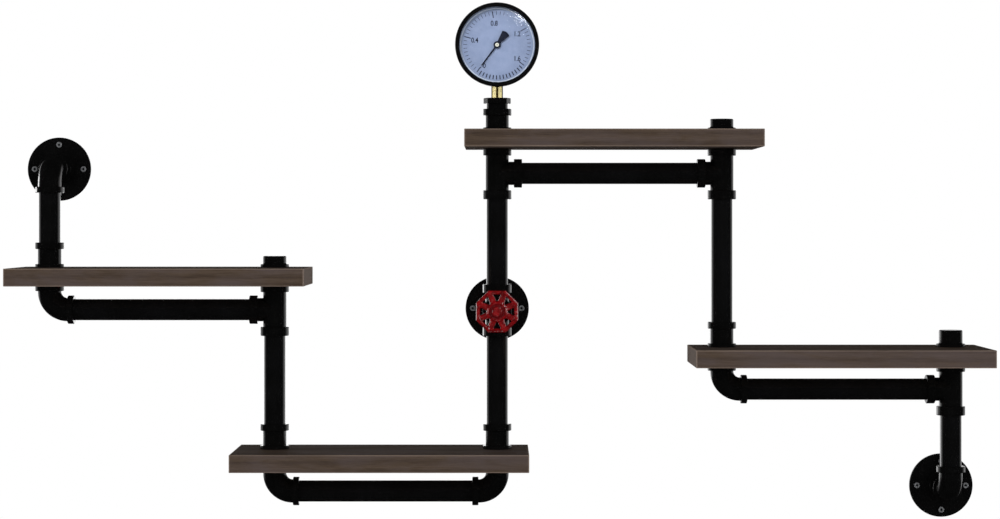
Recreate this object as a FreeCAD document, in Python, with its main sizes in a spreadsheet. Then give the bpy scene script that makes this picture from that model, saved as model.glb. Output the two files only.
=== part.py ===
import FreeCAD, Part
import math
import os

import Sketcher

# Wall-mounted pipe shelving unit, in millimetres.
# +X is to the right, +Z is up and the wall is the plane y = 0, with the front facing -Y.
# The origin is where the middle wall flange's axis meets the wall.
# Five upright pipe columns stand in one plane in front of the wall and carry four boards.

sizes = {
    # pipe and fittings
    "pipe_od": 27.0,
    "pipe_bore": 21.5,
    "fit_clearance": 0.1,
    "socket_depth": 10.0,
    "fitting_od": 29.6,
    "band_od": 36.2,
    "band_round": 0.9,
    "fitting_reach": 31.5,
    "bend_radius": 23.0,
    "elbow_band": 7.8,
    "tee_foot_reach": 32.9,
    "tee_top_band": 9.1,
    "tee_foot_band": 11.4,
    "tee_branch_band": 10.4,
    "cross_reach": 32.6,
    "cross_band": 10.9,
    "coupling_height": 31.7,
    "gauge_coupling_height": 28.0,
    "coupling_top_band": 8.4,
    "coupling_foot_band": 4.5,
    "cap_band": 4.3,
    "cap_round": 1.6,
    "cap_height_left": 14.7,
    "cap_height_top": 15.4,
    "cap_height_right": 21.5,
    # distances between the columns, left to right
    "span_upper_left": 285.1,
    "span_low": 281.9,
    "span_top": 284.6,
    "span_right": 290.2,
    # seen lengths of the upright pipes
    "lower_centre_pipe": 111.4,
    "upper_centre_pipe": 107.7,
    "left_pipe": 111.6,
    "right_pipe": 155.3,
    "left_end_pipe": 62.8,
    "right_end_pipe": 64.6,
    # boards
    "board_thickness": 22.0,
    "board_depth": 150.0,
    "board_front": 90.0,
    "board_hole_clearance": 0.5,
    "board_edge": 0.8,
    "upper_left_overhang_left": 41.6,
    "upper_left_overhang_right": 43.7,
    "top_overhang_left": 40.5,
    "top_overhang_right": 45.3,
    "low_overhang_left": 48.8,
    "low_overhang_right": 39.7,
    "right_overhang_left": 39.2,
    "right_overhang_right": 41.0,
    # wall flanges and their screws
    "wall_distance": 74.0,
    "flange_od": 82.0,
    "flange_plate": 5.0,
    "flange_height": 17.5,
    "flange_hub_od": 34.0,
    "flange_round": 1.2,
    "screw_circle": 63.0,
    "screw_count": 4,
    "screw_hole_gap": 0.4,
    "screw_neck": 4.4,
    "screw_shank": 3.9,
    "screw_length": 30.0,
    "screw_head": 7.4,
    "screw_head_height": 2.4,
    "screw_recess": 4.6,
    "screw_recess_width": 0.9,
    "screw_recess_depth": 1.3,
    "screw_round": 0.9,
    # handwheel and its bonnet
    "bonnet_flats": 30.0,
    "bonnet_head": 7.0,
    "bonnet_neck_od": 18.0,
    "bonnet_neck": 5.4,
    "gland_flats": 19.0,
    "gland_height": 4.0,
    "spindle_od": 8.0,
    "spindle_collar_od": 13.0,
    "spindle_collar": 2.0,
    "running_gap": 0.3,
    "running_fit": 0.08,
    "spindle_thread_od": 6.0,
    "wheel_flats": 52.3,
    "wheel_gap": 0.5,
    "wheel_thickness": 9.0,
    "wheel_rim": 5.3,
    "wheel_recess": 1.3,
    "wheel_hub_od": 24.0,
    "wheel_hub": 11.0,
    "wheel_hub_round": 1.5,
    "wheel_sides": 8,
    "wheel_window_ledge": 1.2,
    "wheel_window_width": 9.1,
    "wheel_window_foot": 13.2,
    "wheel_window_foot_width": 1.6,
    "wheel_window_round": 0.6,
    "wheel_edge": 0.9,
    "wheel_nut_od": 13.0,
    "wheel_nut_height": 4.0,
    "wheel_nut_thread": 2.0,
    "wheel_nut_round": 1.4,
    # pressure gauge, with depths measured forwards from its stem's axis
    "bushing_flats": 31.8,
    "bushing_sides": 8,
    "bushing_head": 7.2,
    "bushing_neck": 6.6,
    "bushing_edge": 0.6,
    "stem_flats": 14.6,
    "stem_hex": 17.3,
    "stem_corner_round": 1.5,
    "stem_neck_od": 12.0,
    "stem_thread_od": 13.0,
    "stem_thread": 16.0,
    "case_od": 99.0,
    "case_wall": 1.5,
    "case_round": 0.75,
    "case_back": 17.0,
    "case_front": 16.0,
    "dial_front": 7.8,
    "dial_thickness": 0.8,
    "dial_hole": 4.0,
    "case_ledge": 2.0,
    "bezel_wall": 3.4,
    "bezel_overlap": 1.8,
    "bezel_lip_thickness": 2.0,
    "bezel_skirt": 11.5,
    "bezel_round": 1.8,
    "glass_thickness": 2.5,
    "block_depth": 8.0,
    "block_inner_radius": 33.0,
    "block_angle": 27.0,
    "block_root": 2.0,
    "tube_radius": 36.0,
    "tube_width": 11.0,
    "tube_height": 3.6,
    "tube_wall": 0.5,
    "tube_end_angle": 25.0,
    "lug_angle": 8.0,
    "link_eye_angle": 6.0,
    "lug_width": 3.4,
    "lug_thickness": 1.6,
    "plate_width": 14.0,
    "plate_thickness": 1.0,
    "plate_top": 7.0,
    "gear_module": 0.4,
    "pinion_teeth": 10,
    "sector_teeth": 90,
    "sector_cut_teeth": 13,
    "pressure_angle": 25.0,
    "tooth_tip": 0.8,
    "tooth_foot": 1.1,
    "gear_thickness": 1.2,
    "pinion_face": 2.4,
    "gear_backlash": 0.12,
    "sector_swing": 30.0,
    "sector_hub_od": 5.0,
    "sector_arm": 3.0,
    "pivot_od": 1.5,
    "arbor_od": 2.2,
    "tail_length": 7.0,
    "link_pin_od": 1.2,
    "link_eye_od": 3.6,
    "link_width": 2.0,
    "link_thickness": 0.8,
    "pointer_rest": 143.0,
    "pointer_length": 34.0,
    "pointer_base": 2.6,
    "pointer_tip": 0.9,
    "pointer_tail": 19.8,
    "pointer_tail_neck": 3.0,
    "pointer_tail_end": 10.4,
    "pointer_thickness": 0.6,
    "pointer_hub_od": 9.6,
    "pointer_hub": 2.0,
    "pointer_lift": 2.0,
    "pointer_cap_od": 6.2,
    "pointer_cap": 0.8,
}

doc = FreeCAD.newDocument("pipe_shelf")
sheet = doc.addObject("Spreadsheet::Sheet", "dims")
for row, (alias, value) in enumerate(sizes.items(), start=1):
    sheet.set(f"A{row}", alias)
    sheet.set(f"B{row}", str(value))
    sheet.setAlias(f"B{row}", alias)
doc.recompute()

nodes = []
hexagon = 6
same_length = 1e-6

toward = {
    "+x": FreeCAD.Vector(1, 0, 0),
    "-x": FreeCAD.Vector(-1, 0, 0),
    "+y": FreeCAD.Vector(0, 1, 0),
    "-y": FreeCAD.Vector(0, -1, 0),
    "+z": FreeCAD.Vector(0, 0, 1),
    "-z": FreeCAD.Vector(0, 0, -1),
}


def number(text):
    """Value of an expression on the sheet's sizes."""
    return float(sheet.evalExpression(str(text)))


def size(alias):
    """One of the sheet's sizes."""
    return float(sheet.get(alias))


def place(item, x, y, z):
    """Tie the item's position to three expressions."""
    for axis, text in (("x", x), ("y", y), ("z", z)):
        item.setExpression("Placement.Base." + axis, str(text))


def along(direction, distance, offset=("0", "0", "0")):
    """Three expressions for a point this far along one of the body's axes."""
    point = list(offset)
    slot = "xyz".index(direction[1])
    sign = direction[0]
    point[slot] = f"{point[slot]} {sign} ({distance})"
    return point


def new_body(label, x="0", y="0", z="0", rotation=None):
    """Empty body with its label and place."""
    item = doc.addObject("PartDesign::Body", label)
    item.Label = label
    item.AllowCompound = True
    item.Placement = FreeCAD.Placement(FreeCAD.Vector(), rotation or FreeCAD.Rotation())
    place(item, x, y, z)
    nodes.append(item)
    return item


def feature(body, kind, name, cut, direction, point, turned=0.0):
    """Additive or subtractive primitive standing at a point, its own Z along a direction."""
    sign = "Subtractive" if cut else "Additive"
    item = body.newObject(f"PartDesign::{sign}{kind}", name)
    stand = FreeCAD.Rotation(toward["+z"], toward[direction])
    spin = FreeCAD.Rotation(toward["+z"], turned)
    item.Placement = FreeCAD.Placement(FreeCAD.Vector(), stand.multiply(spin))
    place(item, *point)
    return item


def cylinder(body, name, direction, start, length, diameter, cut=False, offset=("0", "0", "0")):
    """Round bar or bore from a start distance along a direction."""
    item = feature(body, "Cylinder", name, cut, direction, along(direction, start, offset))
    item.setExpression("Radius", f"({diameter}) / 2")
    item.setExpression("Height", length)
    return item


def prism(body, name, direction, start, length, flats, sides, turned=0.0, cut=False):
    """Bar with flat sides, its size given across the flats."""
    item = feature(body, "Prism", name, cut, direction, along(direction, start), turned)
    item.Polygon = sides
    item.setExpression("Circumradius", f"({flats}) / 2 / cos(180 / {sides})")
    item.setExpression("Height", length)
    return item


def box(body, name, corner, lengths, cut=False):
    """Block from its lowest corner."""
    item = feature(body, "Box", name, cut, "+z", corner)
    for side, text in zip(("Length", "Width", "Height"), lengths):
        item.setExpression(side, text)
    return item


def torus(body, name, point, ring, section, sweep, turned, cut=False):
    """Stretch of a ring about the body's Z axis."""
    item = feature(body, "Torus", name, cut, "+z", point, turned)
    item.setExpression("Radius1", ring)
    item.setExpression("Radius2", f"({section}) / 2")
    item.Angle3 = sweep
    return item


def origin_item(body, role):
    """One of the body's own origin planes or axes."""
    return next(item for item in body.Origin.OriginFeatures if item.Role == role)


def outline(body, plane, corners):
    """Closed sketch whose corners are pairs of expressions."""
    sketch = body.newObject("Sketcher::SketchObject", "outline")
    sketch.AttachmentSupport = (origin_item(body, plane), [""])
    sketch.MapMode = "FlatFace"
    spots = [FreeCAD.Vector(number(x), number(y), 0) for x, y in corners]
    for index, spot in enumerate(spots):
        following = spots[(index + 1) % len(spots)]
        sketch.addGeometry(Part.LineSegment(spot, following), False)
    for index in range(len(spots)):
        following = (index + 1) % len(spots)
        sketch.addConstraint(Sketcher.Constraint("Coincident", index, 2, following, 1))
    for index, (x, y) in enumerate(corners):
        for kind, text, value in (("DistanceX", x, spots[index].x), ("DistanceY", y, spots[index].y)):
            tie = sketch.addConstraint(Sketcher.Constraint(kind, -1, 1, index, 1, value))
            name = f"{kind}_{index}"
            sketch.renameConstraint(tie, name)
            sketch.setExpression(f"Constraints.{name}", str(text))
    return sketch


def same(first, second):
    """Whether two lengths are equal."""
    return abs(first - second) < same_length


def finish_edges(body, kind, amount, wanted):
    """Fillet or Chamfer on the edges of the body's last feature that pass a test."""
    doc.recompute()
    base = body.Tip
    names = [f"Edge{index}" for index, edge in enumerate(base.Shape.Edges, start=1) if wanted(edge)]
    item = body.newObject(f"PartDesign::{kind}", kind.lower())
    item.Base = (base, names)
    item.setExpression("Radius" if kind == "Fillet" else "Size", amount)


def straight_along(edge, direction):
    """Whether an edge is a straight line along one of the body's axes."""
    if not isinstance(edge.Curve, Part.Line):
        return False
    return same(abs(edge.Curve.Direction.dot(toward[direction])), 1.0)


def round_rims(body, diameter, radius):
    """Round every full circular edge of one diameter."""
    wanted_radius = number(diameter) / 2

    def is_rim(edge):
        round_edge = edge.isClosed() and isinstance(edge.Curve, Part.Circle)
        return round_edge and same(edge.Curve.Radius, wanted_radius)

    finish_edges(body, "Fillet", radius, is_rim)


# Places of the columns and heights, worked out from the pipes that join them.

column_2 = "-dims.span_low"
column_1 = "-(dims.span_low + dims.span_upper_left)"
column_3 = "0"
column_4 = "dims.span_top"
column_5 = "(dims.span_top + dims.span_right)"
pipe_plane = "-dims.wall_distance"

two_reaches = "2 * dims.fitting_reach"
tee_height = "(dims.fitting_reach + dims.tee_foot_reach)"
low_top = "-(dims.cross_reach + dims.lower_centre_pipe + dims.coupling_height)"
low_under = f"({low_top} - dims.board_thickness)"
top_under = f"(dims.cross_reach + dims.upper_centre_pipe + {tee_height})"
top_top = f"({top_under} + dims.board_thickness)"
left_under = f"({low_top} + dims.coupling_height + dims.left_pipe + {tee_height})"
left_top = f"({left_under} + dims.board_thickness)"
right_top = f"({top_under} - {tee_height} - dims.right_pipe - dims.coupling_height)"
right_under = f"({right_top} - dims.board_thickness)"
left_flange_height = f"({left_top} + dims.coupling_height + dims.left_end_pipe + dims.fitting_reach)"
right_flange_height = f"({right_under} - {tee_height} - dims.right_end_pipe - dims.fitting_reach)"
socket_bore = "dims.pipe_od + 2 * dims.fit_clearance"


def rail_height(board_under):
    """Height of the rail pipe's axis under a board."""
    return f"({board_under} - dims.fitting_reach)"


# Straight pipes


def pipe_length(body, name, direction, point, length):
    """Tube from a point along a direction, in a body."""
    outer = feature(body, "Cylinder", name, False, direction, point)
    outer.setExpression("Radius", "dims.pipe_od / 2")
    outer.setExpression("Height", length)
    inner = feature(body, "Cylinder", name + "_bore", True, direction, point)
    inner.setExpression("Radius", "dims.pipe_bore / 2")
    inner.setExpression("Height", length)


def pipe(label, direction, x, y, z, seen_length):
    """Pipe whose ends go one socket deep past its seen length."""
    slot = "xyz".index(direction[1])
    start = [x, y, z]
    back = "-" if direction[0] == "+" else "+"
    start[slot] = f"{start[slot]} {back} dims.socket_depth"
    body = new_body(label, *start)
    pipe_length(body, "tube", direction, ("0", "0", "0"), f"({seen_length}) + 2 * dims.socket_depth")


def rail(label, left_column, span, board_under):
    """Level pipe under a board, from one fitting's end to the other's."""
    start = f"{left_column} + dims.fitting_reach"
    pipe(label, "+x", start, pipe_plane, rail_height(board_under), f"{span} - {two_reaches}")


rail("upper_left_rail", column_1, "dims.span_upper_left", left_under)
rail("low_rail", column_2, "dims.span_low", low_under)
rail("top_rail", column_3, "dims.span_top", top_under)
rail("right_rail", column_4, "dims.span_right", right_under)

low_start = f"{low_top} + dims.coupling_height"
right_start = f"{right_top} + dims.coupling_height"
left_end_start = f"{left_top} + dims.coupling_height"
pipe("left_pipe", "+z", column_2, pipe_plane, low_start, "dims.left_pipe")
pipe("lower_centre_pipe", "+z", column_3, pipe_plane, low_start, "dims.lower_centre_pipe")
pipe("upper_centre_pipe", "+z", column_3, pipe_plane, "dims.cross_reach", "dims.upper_centre_pipe")
pipe("right_pipe", "+z", column_4, pipe_plane, right_start, "dims.right_pipe")
pipe("left_end_pipe", "+z", column_1, pipe_plane, left_end_start, "dims.left_end_pipe")
right_tee_foot = f"{right_under} - {tee_height}"
pipe("right_end_pipe", "-z", column_5, pipe_plane, right_tee_foot, "dims.right_end_pipe")

wall_gap_elbow = "dims.wall_distance - dims.flange_height - dims.fitting_reach"
wall_gap_cross = "dims.wall_distance - dims.flange_height - dims.cross_reach"
pipe("left_wall_pipe", "-y", column_1, "-dims.flange_height", left_flange_height, wall_gap_elbow)
pipe("middle_wall_pipe", "-y", column_3, "-dims.flange_height", "0", wall_gap_cross)
pipe("right_wall_pipe", "-y", column_5, "-dims.flange_height", right_flange_height, wall_gap_elbow)


# Elbows, tees and the cross: round legs with a band at each mouth


def leg(body, name, direction, start, reach, band):
    """One leg of a fitting with its band."""
    cylinder(body, name, direction, start, f"{reach} - ({start})", "dims.fitting_od")
    cylinder(body, name + "_band", direction, f"{reach} - {band}", band, "dims.band_od")


def leg_bore(body, name, direction, start, reach):
    """Waterway and pipe socket of one leg."""
    cylinder(body, name + "_way", direction, start, f"{reach} - ({start})", "dims.pipe_bore", cut=True)
    floor = f"{reach} - dims.socket_depth"
    cylinder(body, name + "_socket", direction, floor, "dims.socket_depth", socket_bore, cut=True)


def axes_rotation(first, second):
    """Rotation that sends the body's X and Y axes along two directions."""
    x_axis = toward[first]
    y_axis = toward[second]
    return FreeCAD.Rotation(x_axis, y_axis, x_axis.cross(y_axis), "XYZ")


def elbow(label, first, second, x, y, z):
    """Quarter bend between two legs, both of the fitting's reach."""
    body = new_body(label, x, y, z, axes_rotation(first, second))
    centre = ("dims.bend_radius", "dims.bend_radius", "0")
    quarter = 90.0
    far_side = 180.0
    torus(body, "bend", centre, "dims.bend_radius", "dims.fitting_od", quarter, far_side)
    leg(body, "leg_x", "+x", "dims.bend_radius", "dims.fitting_reach", "dims.elbow_band")
    leg(body, "leg_y", "+y", "dims.bend_radius", "dims.fitting_reach", "dims.elbow_band")
    torus(body, "bend_way", centre, "dims.bend_radius", "dims.pipe_bore", quarter, far_side, cut=True)
    leg_bore(body, "leg_x", "+x", "dims.bend_radius", "dims.fitting_reach")
    leg_bore(body, "leg_y", "+y", "dims.bend_radius", "dims.fitting_reach")
    round_rims(body, "dims.band_od", "dims.band_round")


def branched(label, legs, rotation, x, y, z):
    """Fitting with straight legs from one centre: direction, reach and band of each."""
    body = new_body(label, x, y, z, rotation)
    for index, (direction, reach, band) in enumerate(legs):
        leg(body, f"leg_{index}", direction, "0", reach, band)
    for index, (direction, reach, band) in enumerate(legs):
        leg_bore(body, f"leg_{index}", direction, "0", reach)
    round_rims(body, "dims.band_od", "dims.band_round")


def tee(label, branch, x, y, z):
    """Upright tee with its branch to the left or the right."""
    legs = (
        ("+z", "dims.fitting_reach", "dims.tee_top_band"),
        ("-z", "dims.tee_foot_reach", "dims.tee_foot_band"),
        (branch, "dims.fitting_reach", "dims.tee_branch_band"),
    )
    branched(label, legs, None, x, y, z)


elbow("upper_left_elbow", "+x", "+z", column_1, pipe_plane, rail_height(left_under))
elbow("low_left_elbow", "+x", "+z", column_2, pipe_plane, rail_height(low_under))
elbow("low_right_elbow", "-x", "+z", column_3, pipe_plane, rail_height(low_under))
elbow("right_elbow", "+x", "+z", column_4, pipe_plane, rail_height(right_under))
elbow("left_wall_elbow", "+y", "-z", column_1, pipe_plane, left_flange_height)
elbow("right_wall_elbow", "+y", "+z", column_5, pipe_plane, right_flange_height)

tee("upper_left_tee", "-x", column_2, pipe_plane, rail_height(left_under))
tee("top_left_tee", "+x", column_3, pipe_plane, rail_height(top_under))
tee("top_right_tee", "-x", column_4, pipe_plane, rail_height(top_under))
tee("right_tee", "-x", column_5, pipe_plane, rail_height(right_under))

cross_legs = [(way, "dims.cross_reach", "dims.cross_band") for way in ("+z", "-z", "+y", "-y")]
branched("cross_fitting", cross_legs, None, column_3, pipe_plane, "0")


# Couplings and caps that stand on the boards


def coupling(label, height, x, board_top):
    """Straight socket standing on a board, banded at the top and the foot."""
    body = new_body(label, x, pipe_plane, board_top)
    cylinder(body, "sleeve", "+z", "0", height, "dims.fitting_od")
    cylinder(body, "foot_band", "+z", "0", "dims.coupling_foot_band", "dims.band_od")
    top_start = f"{height} - dims.coupling_top_band"
    cylinder(body, "top_band", "+z", top_start, "dims.coupling_top_band", "dims.band_od")
    cylinder(body, "way", "+z", "0", height, "dims.pipe_bore", cut=True)
    cylinder(body, "foot_socket", "+z", "0", "dims.socket_depth", socket_bore, cut=True)
    top_floor = f"{height} - dims.socket_depth"
    cylinder(body, "top_socket", "+z", top_floor, "dims.socket_depth", socket_bore, cut=True)
    round_rims(body, "dims.band_od", "dims.band_round")


def cap(label, height, x, board_top):
    """Closed end that stands on a board over the pipe that comes through it."""
    body = new_body(label, x, pipe_plane, board_top)
    cylinder(body, "dome", "+z", "0", height, "dims.fitting_od")
    cylinder(body, "foot_band", "+z", "0", "dims.cap_band", "dims.band_od")
    cylinder(body, "socket", "+z", "0", "dims.socket_depth", socket_bore, cut=True)
    round_rims(body, "dims.band_od", "dims.band_round")
    round_rims(body, "dims.fitting_od", "dims.cap_round")


coupling("upper_left_coupling", "dims.coupling_height", column_1, left_top)
coupling("low_left_coupling", "dims.coupling_height", column_2, low_top)
coupling("low_right_coupling", "dims.coupling_height", column_3, low_top)
coupling("right_coupling", "dims.coupling_height", column_4, right_top)
coupling("gauge_coupling", "dims.gauge_coupling_height", column_3, top_top)

cap("upper_left_cap", "dims.cap_height_left", column_2, left_top)
cap("top_cap", "dims.cap_height_top", column_4, top_top)
cap("right_cap", "dims.cap_height_right", column_5, right_top)


# Boards, and the short pipes that pass through them

boards = (
    ("upper_left", column_1, "dims.span_upper_left", left_under),
    ("low", column_2, "dims.span_low", low_under),
    ("top", column_3, "dims.span_top", top_under),
    ("right", column_4, "dims.span_right", right_under),
)


def board(name, left_column, span, under):
    """Plank with a clearance hole over each of its two columns."""
    left = f"dims.{name}_overhang_left"
    right = f"dims.{name}_overhang_right"
    body = new_body(name + "_board", left_column, pipe_plane, under)
    corner = (f"-{left}", "-dims.board_front", "0")
    box(body, "plank", corner, (f"{left} + {span} + {right}", "dims.board_depth", "dims.board_thickness"))
    hole = "dims.pipe_od + 2 * dims.board_hole_clearance"
    cylinder(body, "left_hole", "+z", "0", "dims.board_thickness", hole, cut=True)
    cylinder(body, "right_hole", "+z", "0", "dims.board_thickness", hole, cut=True, offset=(span, "0", "0"))
    hole_radius = number(hole) / 2

    def is_outer(edge):
        straight = isinstance(edge.Curve, Part.Line)
        near_left = math.hypot(edge.CenterOfMass.x, edge.CenterOfMass.y)
        near_right = math.hypot(edge.CenterOfMass.x - number(span), edge.CenterOfMass.y)
        return straight and min(near_left, near_right) > hole_radius + same_length

    finish_edges(body, "Fillet", "dims.board_edge", is_outer)


nipples = new_body("board_nipples")
for name, left_column, span, under in boards:
    board(name, left_column, span, under)
    foot = f"{under} - dims.socket_depth"
    nipple_length = "dims.board_thickness + 2 * dims.socket_depth"
    for side, shift in (("left", "0"), ("right", span)):
        point = (f"{left_column} + {shift}", pipe_plane, foot)
        pipe_length(nipples, f"{name}_{side}_nipple", "+z", point, nipple_length)


# Wall flanges and their screws

flange_places = (
    ("left", column_1, left_flange_height),
    ("middle", column_3, "0"),
    ("right", column_5, right_flange_height),
)
screw_count = int(size("screw_count"))
screw_step = 360.0 / screw_count


def screw_offset(index):
    """Sideways and upward distance of one screw from its flange's axis."""
    turn = index * screw_step
    sideways = f"dims.screw_circle / 2 * cos({turn})"
    upward = f"dims.screw_circle / 2 * sin({turn})"
    return sideways, upward


def flange(label, x, z):
    """Round plate on the wall with a hub that takes the pipe."""
    body = new_body(label, x, "0", z)
    cylinder(body, "plate", "-y", "0", "dims.flange_plate", "dims.flange_od")
    cylinder(body, "hub", "-y", "0", "dims.flange_height", "dims.flange_hub_od")
    cylinder(body, "way", "-y", "0", "dims.flange_height", "dims.pipe_bore", cut=True)
    floor = "dims.flange_height - dims.socket_depth"
    cylinder(body, "socket", "-y", floor, "dims.socket_depth", socket_bore, cut=True)
    hole = "dims.screw_neck + dims.screw_hole_gap"
    for index in range(screw_count):
        sideways, upward = screw_offset(index)
        offset = (sideways, "0", upward)
        cylinder(body, "screw_hole", "-y", "0", "dims.flange_plate", hole, cut=True, offset=offset)
    round_rims(body, "dims.flange_od", "dims.flange_round")
    round_rims(body, "dims.flange_hub_od", "dims.flange_round")


screws = new_body("wall_screws")
for name, x, z in flange_places:
    flange(name + "_flange", x, z)
    for index in range(screw_count):
        sideways, upward = screw_offset(index)
        spot = (f"{x} + {sideways}", "0", f"{z} + {upward}")
        in_wall = "dims.screw_length - dims.flange_plate"
        cylinder(screws, "shank", "+y", "0", in_wall, "dims.screw_shank", offset=spot)
        cylinder(screws, "neck", "-y", "0", "dims.flange_plate", "dims.screw_neck", offset=spot)
        head = "dims.screw_head_height"
        cylinder(screws, "head", "-y", "dims.flange_plate", head, "dims.screw_head", offset=spot)
        recess_y = f"-dims.flange_plate - {head}"
        long_side = "dims.screw_recess"
        short_side = "dims.screw_recess_width"
        deep = "dims.screw_recess_depth"
        for wide, tall in ((long_side, short_side), (short_side, long_side)):
            corner = (f"{spot[0]} - {wide} / 2", recess_y, f"{spot[2]} - {tall} / 2")
            box(screws, "recess", corner, (wide, deep, tall), cut=True)
round_rims(screws, "dims.screw_head", "dims.screw_round")


# Bonnet, gland, spindle, handwheel and nut in front of the cross

bonnet_face = "dims.cross_reach"
neck_start = f"({bonnet_face} + dims.bonnet_head)"
gland_start = f"({neck_start} + dims.bonnet_neck)"
hub_start = f"({gland_start} + dims.gland_height + dims.wheel_gap)"
hub_middle = f"({hub_start} + dims.wheel_hub / 2)"
hub_end = f"({hub_start} + dims.wheel_hub)"
spindle_bore = "dims.spindle_od + 2 * dims.running_fit"

bonnet = new_body("valve_bonnet", column_3, pipe_plane, "0")
thread_start = f"{bonnet_face} - dims.socket_depth"
cylinder(bonnet, "thread", "-y", thread_start, "dims.socket_depth", "dims.pipe_od")
prism(bonnet, "head", "-y", bonnet_face, "dims.bonnet_head", "dims.bonnet_flats", hexagon)
cylinder(bonnet, "neck", "-y", neck_start, "dims.bonnet_neck", "dims.bonnet_neck_od")
bonnet_length = "dims.socket_depth + dims.bonnet_head + dims.bonnet_neck"
cylinder(bonnet, "bore", "-y", thread_start, bonnet_length, spindle_bore, cut=True)

gland = new_body("gland_nut", column_3, pipe_plane, "0")
prism(gland, "nut", "-y", gland_start, "dims.gland_height", "dims.gland_flats", hexagon)
cylinder(gland, "bore", "-y", gland_start, "dims.gland_height", spindle_bore, cut=True)

spindle = new_body("valve_spindle", column_3, pipe_plane, "0")
collar_end = f"({thread_start} - dims.running_gap)"
collar_start = f"{collar_end} - dims.spindle_collar"
cylinder(spindle, "collar", "-y", collar_start, "dims.spindle_collar", "dims.spindle_collar_od")
cylinder(spindle, "rod", "-y", collar_end, f"{hub_end} - {collar_end}", "dims.spindle_od")
cylinder(spindle, "thread", "-y", hub_end, "dims.wheel_nut_thread", "dims.spindle_thread_od")

# The wheel is an octagonal disc, recessed inside its rim, with one window behind each side.
wheel = new_body("handwheel", column_3, pipe_plane, "0")
wheel_sides = int(size("wheel_sides"))
half_side = 180.0 / wheel_sides
rim_start = f"({hub_middle} - dims.wheel_thickness / 2)"
rim_end = f"({hub_middle} + dims.wheel_thickness / 2)"
inside_flats = "(dims.wheel_flats - 2 * dims.wheel_rim)"
recess = "dims.wheel_recess"
prism(wheel, "disc", "-y", rim_start, "dims.wheel_thickness", "dims.wheel_flats", wheel_sides, half_side)
prism(wheel, "back_recess", "-y", rim_start, recess, inside_flats, wheel_sides, half_side, cut=True)
front_recess = f"{rim_end} - {recess}"
prism(wheel, "front_recess", "-y", front_recess, recess, inside_flats, wheel_sides, half_side, cut=True)
window_top = f"({inside_flats} / 2 - dims.wheel_window_ledge)"
window_corners = (
    ("-dims.wheel_window_width / 2", window_top),
    ("dims.wheel_window_width / 2", window_top),
    ("dims.wheel_window_foot_width / 2", "dims.wheel_window_foot"),
    ("-dims.wheel_window_foot_width / 2", "dims.wheel_window_foot"),
)
window = wheel.newObject("PartDesign::Pocket", "window")
window.Profile = outline(wheel, "XZ_Plane", window_corners)
window.Midplane = True
window.setExpression("Length", f"2 * {rim_end}")
windows = wheel.newObject("PartDesign::PolarPattern", "windows")
windows.Originals = [window]
windows.Axis = (origin_item(wheel, "Y_Axis"), [""])
windows.Angle = 360.0
windows.Occurrences = wheel_sides
wheel.Tip = windows
window_reach = number(window_top)
rim_faces = (-number(rim_start), -number(rim_end))
web_faces = (-number(rim_start) - number(recess), -number(rim_end) + number(recess))


def near_axis(edge, reach):
    """Whether an edge's middle is nearer to the wheel's axis than this."""
    return math.hypot(edge.CenterOfMass.x, edge.CenterOfMass.z) < reach


def is_window_corner(edge):
    """Edge through the web at a corner of a window."""
    return straight_along(edge, "+y") and near_axis(edge, number(inside_flats) / 2)


def is_wheel_edge(edge):
    """Edge of the rim's faces, or of a window in the web's faces."""
    flat = edge.BoundBox.YLength < same_length
    depth = edge.CenterOfMass.y
    on_rim = any(same(depth, face) for face in rim_faces)
    on_web = any(same(depth, face) for face in web_faces)
    return flat and (on_rim or (on_web and near_axis(edge, window_reach + same_length)))


finish_edges(wheel, "Fillet", "dims.wheel_window_round", is_window_corner)
finish_edges(wheel, "Chamfer", "dims.wheel_edge", is_wheel_edge)
cylinder(wheel, "hub", "-y", hub_start, "dims.wheel_hub", "dims.wheel_hub_od")
hub_faces = (-number(hub_start), -number(hub_end))


def is_hub_rim(edge):
    """Circle round one of the hub's two ends."""
    return edge.isClosed() and any(same(edge.CenterOfMass.y, face) for face in hub_faces)


finish_edges(wheel, "Fillet", "dims.wheel_hub_round", is_hub_rim)
cylinder(wheel, "bore", "-y", hub_start, "dims.wheel_hub", spindle_bore, cut=True)

wheel_nut = new_body("wheel_nut", column_3, pipe_plane, "0")
cylinder(wheel_nut, "dome", "-y", hub_end, "dims.wheel_nut_height", "dims.wheel_nut_od")
nut_bore = "dims.spindle_thread_od + 2 * dims.fit_clearance"
cylinder(wheel_nut, "bore", "-y", hub_end, "dims.wheel_nut_thread", nut_bore, cut=True)
nut_front = -number(hub_end) - size("wheel_nut_height")
finish_edges(
    wheel_nut, "Fillet", "dims.wheel_nut_round", lambda edge: same(edge.CenterOfMass.y, nut_front)
)


# Pressure gauge: bushing and stem block stand on the coupling, the case hangs on the block

bushing_foot = f"({top_top} + dims.gauge_coupling_height)"
bushing_top = f"({bushing_foot} + dims.bushing_neck + dims.bushing_head)"
stem_foot = f"({bushing_top} - dims.stem_thread)"
stem_bore = "dims.stem_thread_od + 2 * dims.fit_clearance"
gauge_height = f"({bushing_top} + dims.stem_hex + dims.case_od / 2)"

bushing = new_body("gauge_bushing", column_3, pipe_plane, bushing_foot)
neck_length = "dims.socket_depth + dims.bushing_neck"
cylinder(bushing, "neck", "+z", "-dims.socket_depth", neck_length, "dims.pipe_od")
bushing_sides = int(size("bushing_sides"))
prism(bushing, "head", "+z", "dims.bushing_neck", "dims.bushing_head", "dims.bushing_flats", bushing_sides)
bushing_length = "dims.socket_depth + dims.bushing_neck + dims.bushing_head"
cylinder(bushing, "bore", "+z", "-dims.socket_depth", bushing_length, stem_bore, cut=True)


def is_head_edge(edge):
    """Level edge round the top or the foot of the bushing's head."""
    return isinstance(edge.Curve, Part.Line) and not straight_along(edge, "+z")


finish_edges(bushing, "Chamfer", "dims.bushing_edge", is_head_edge)


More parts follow.
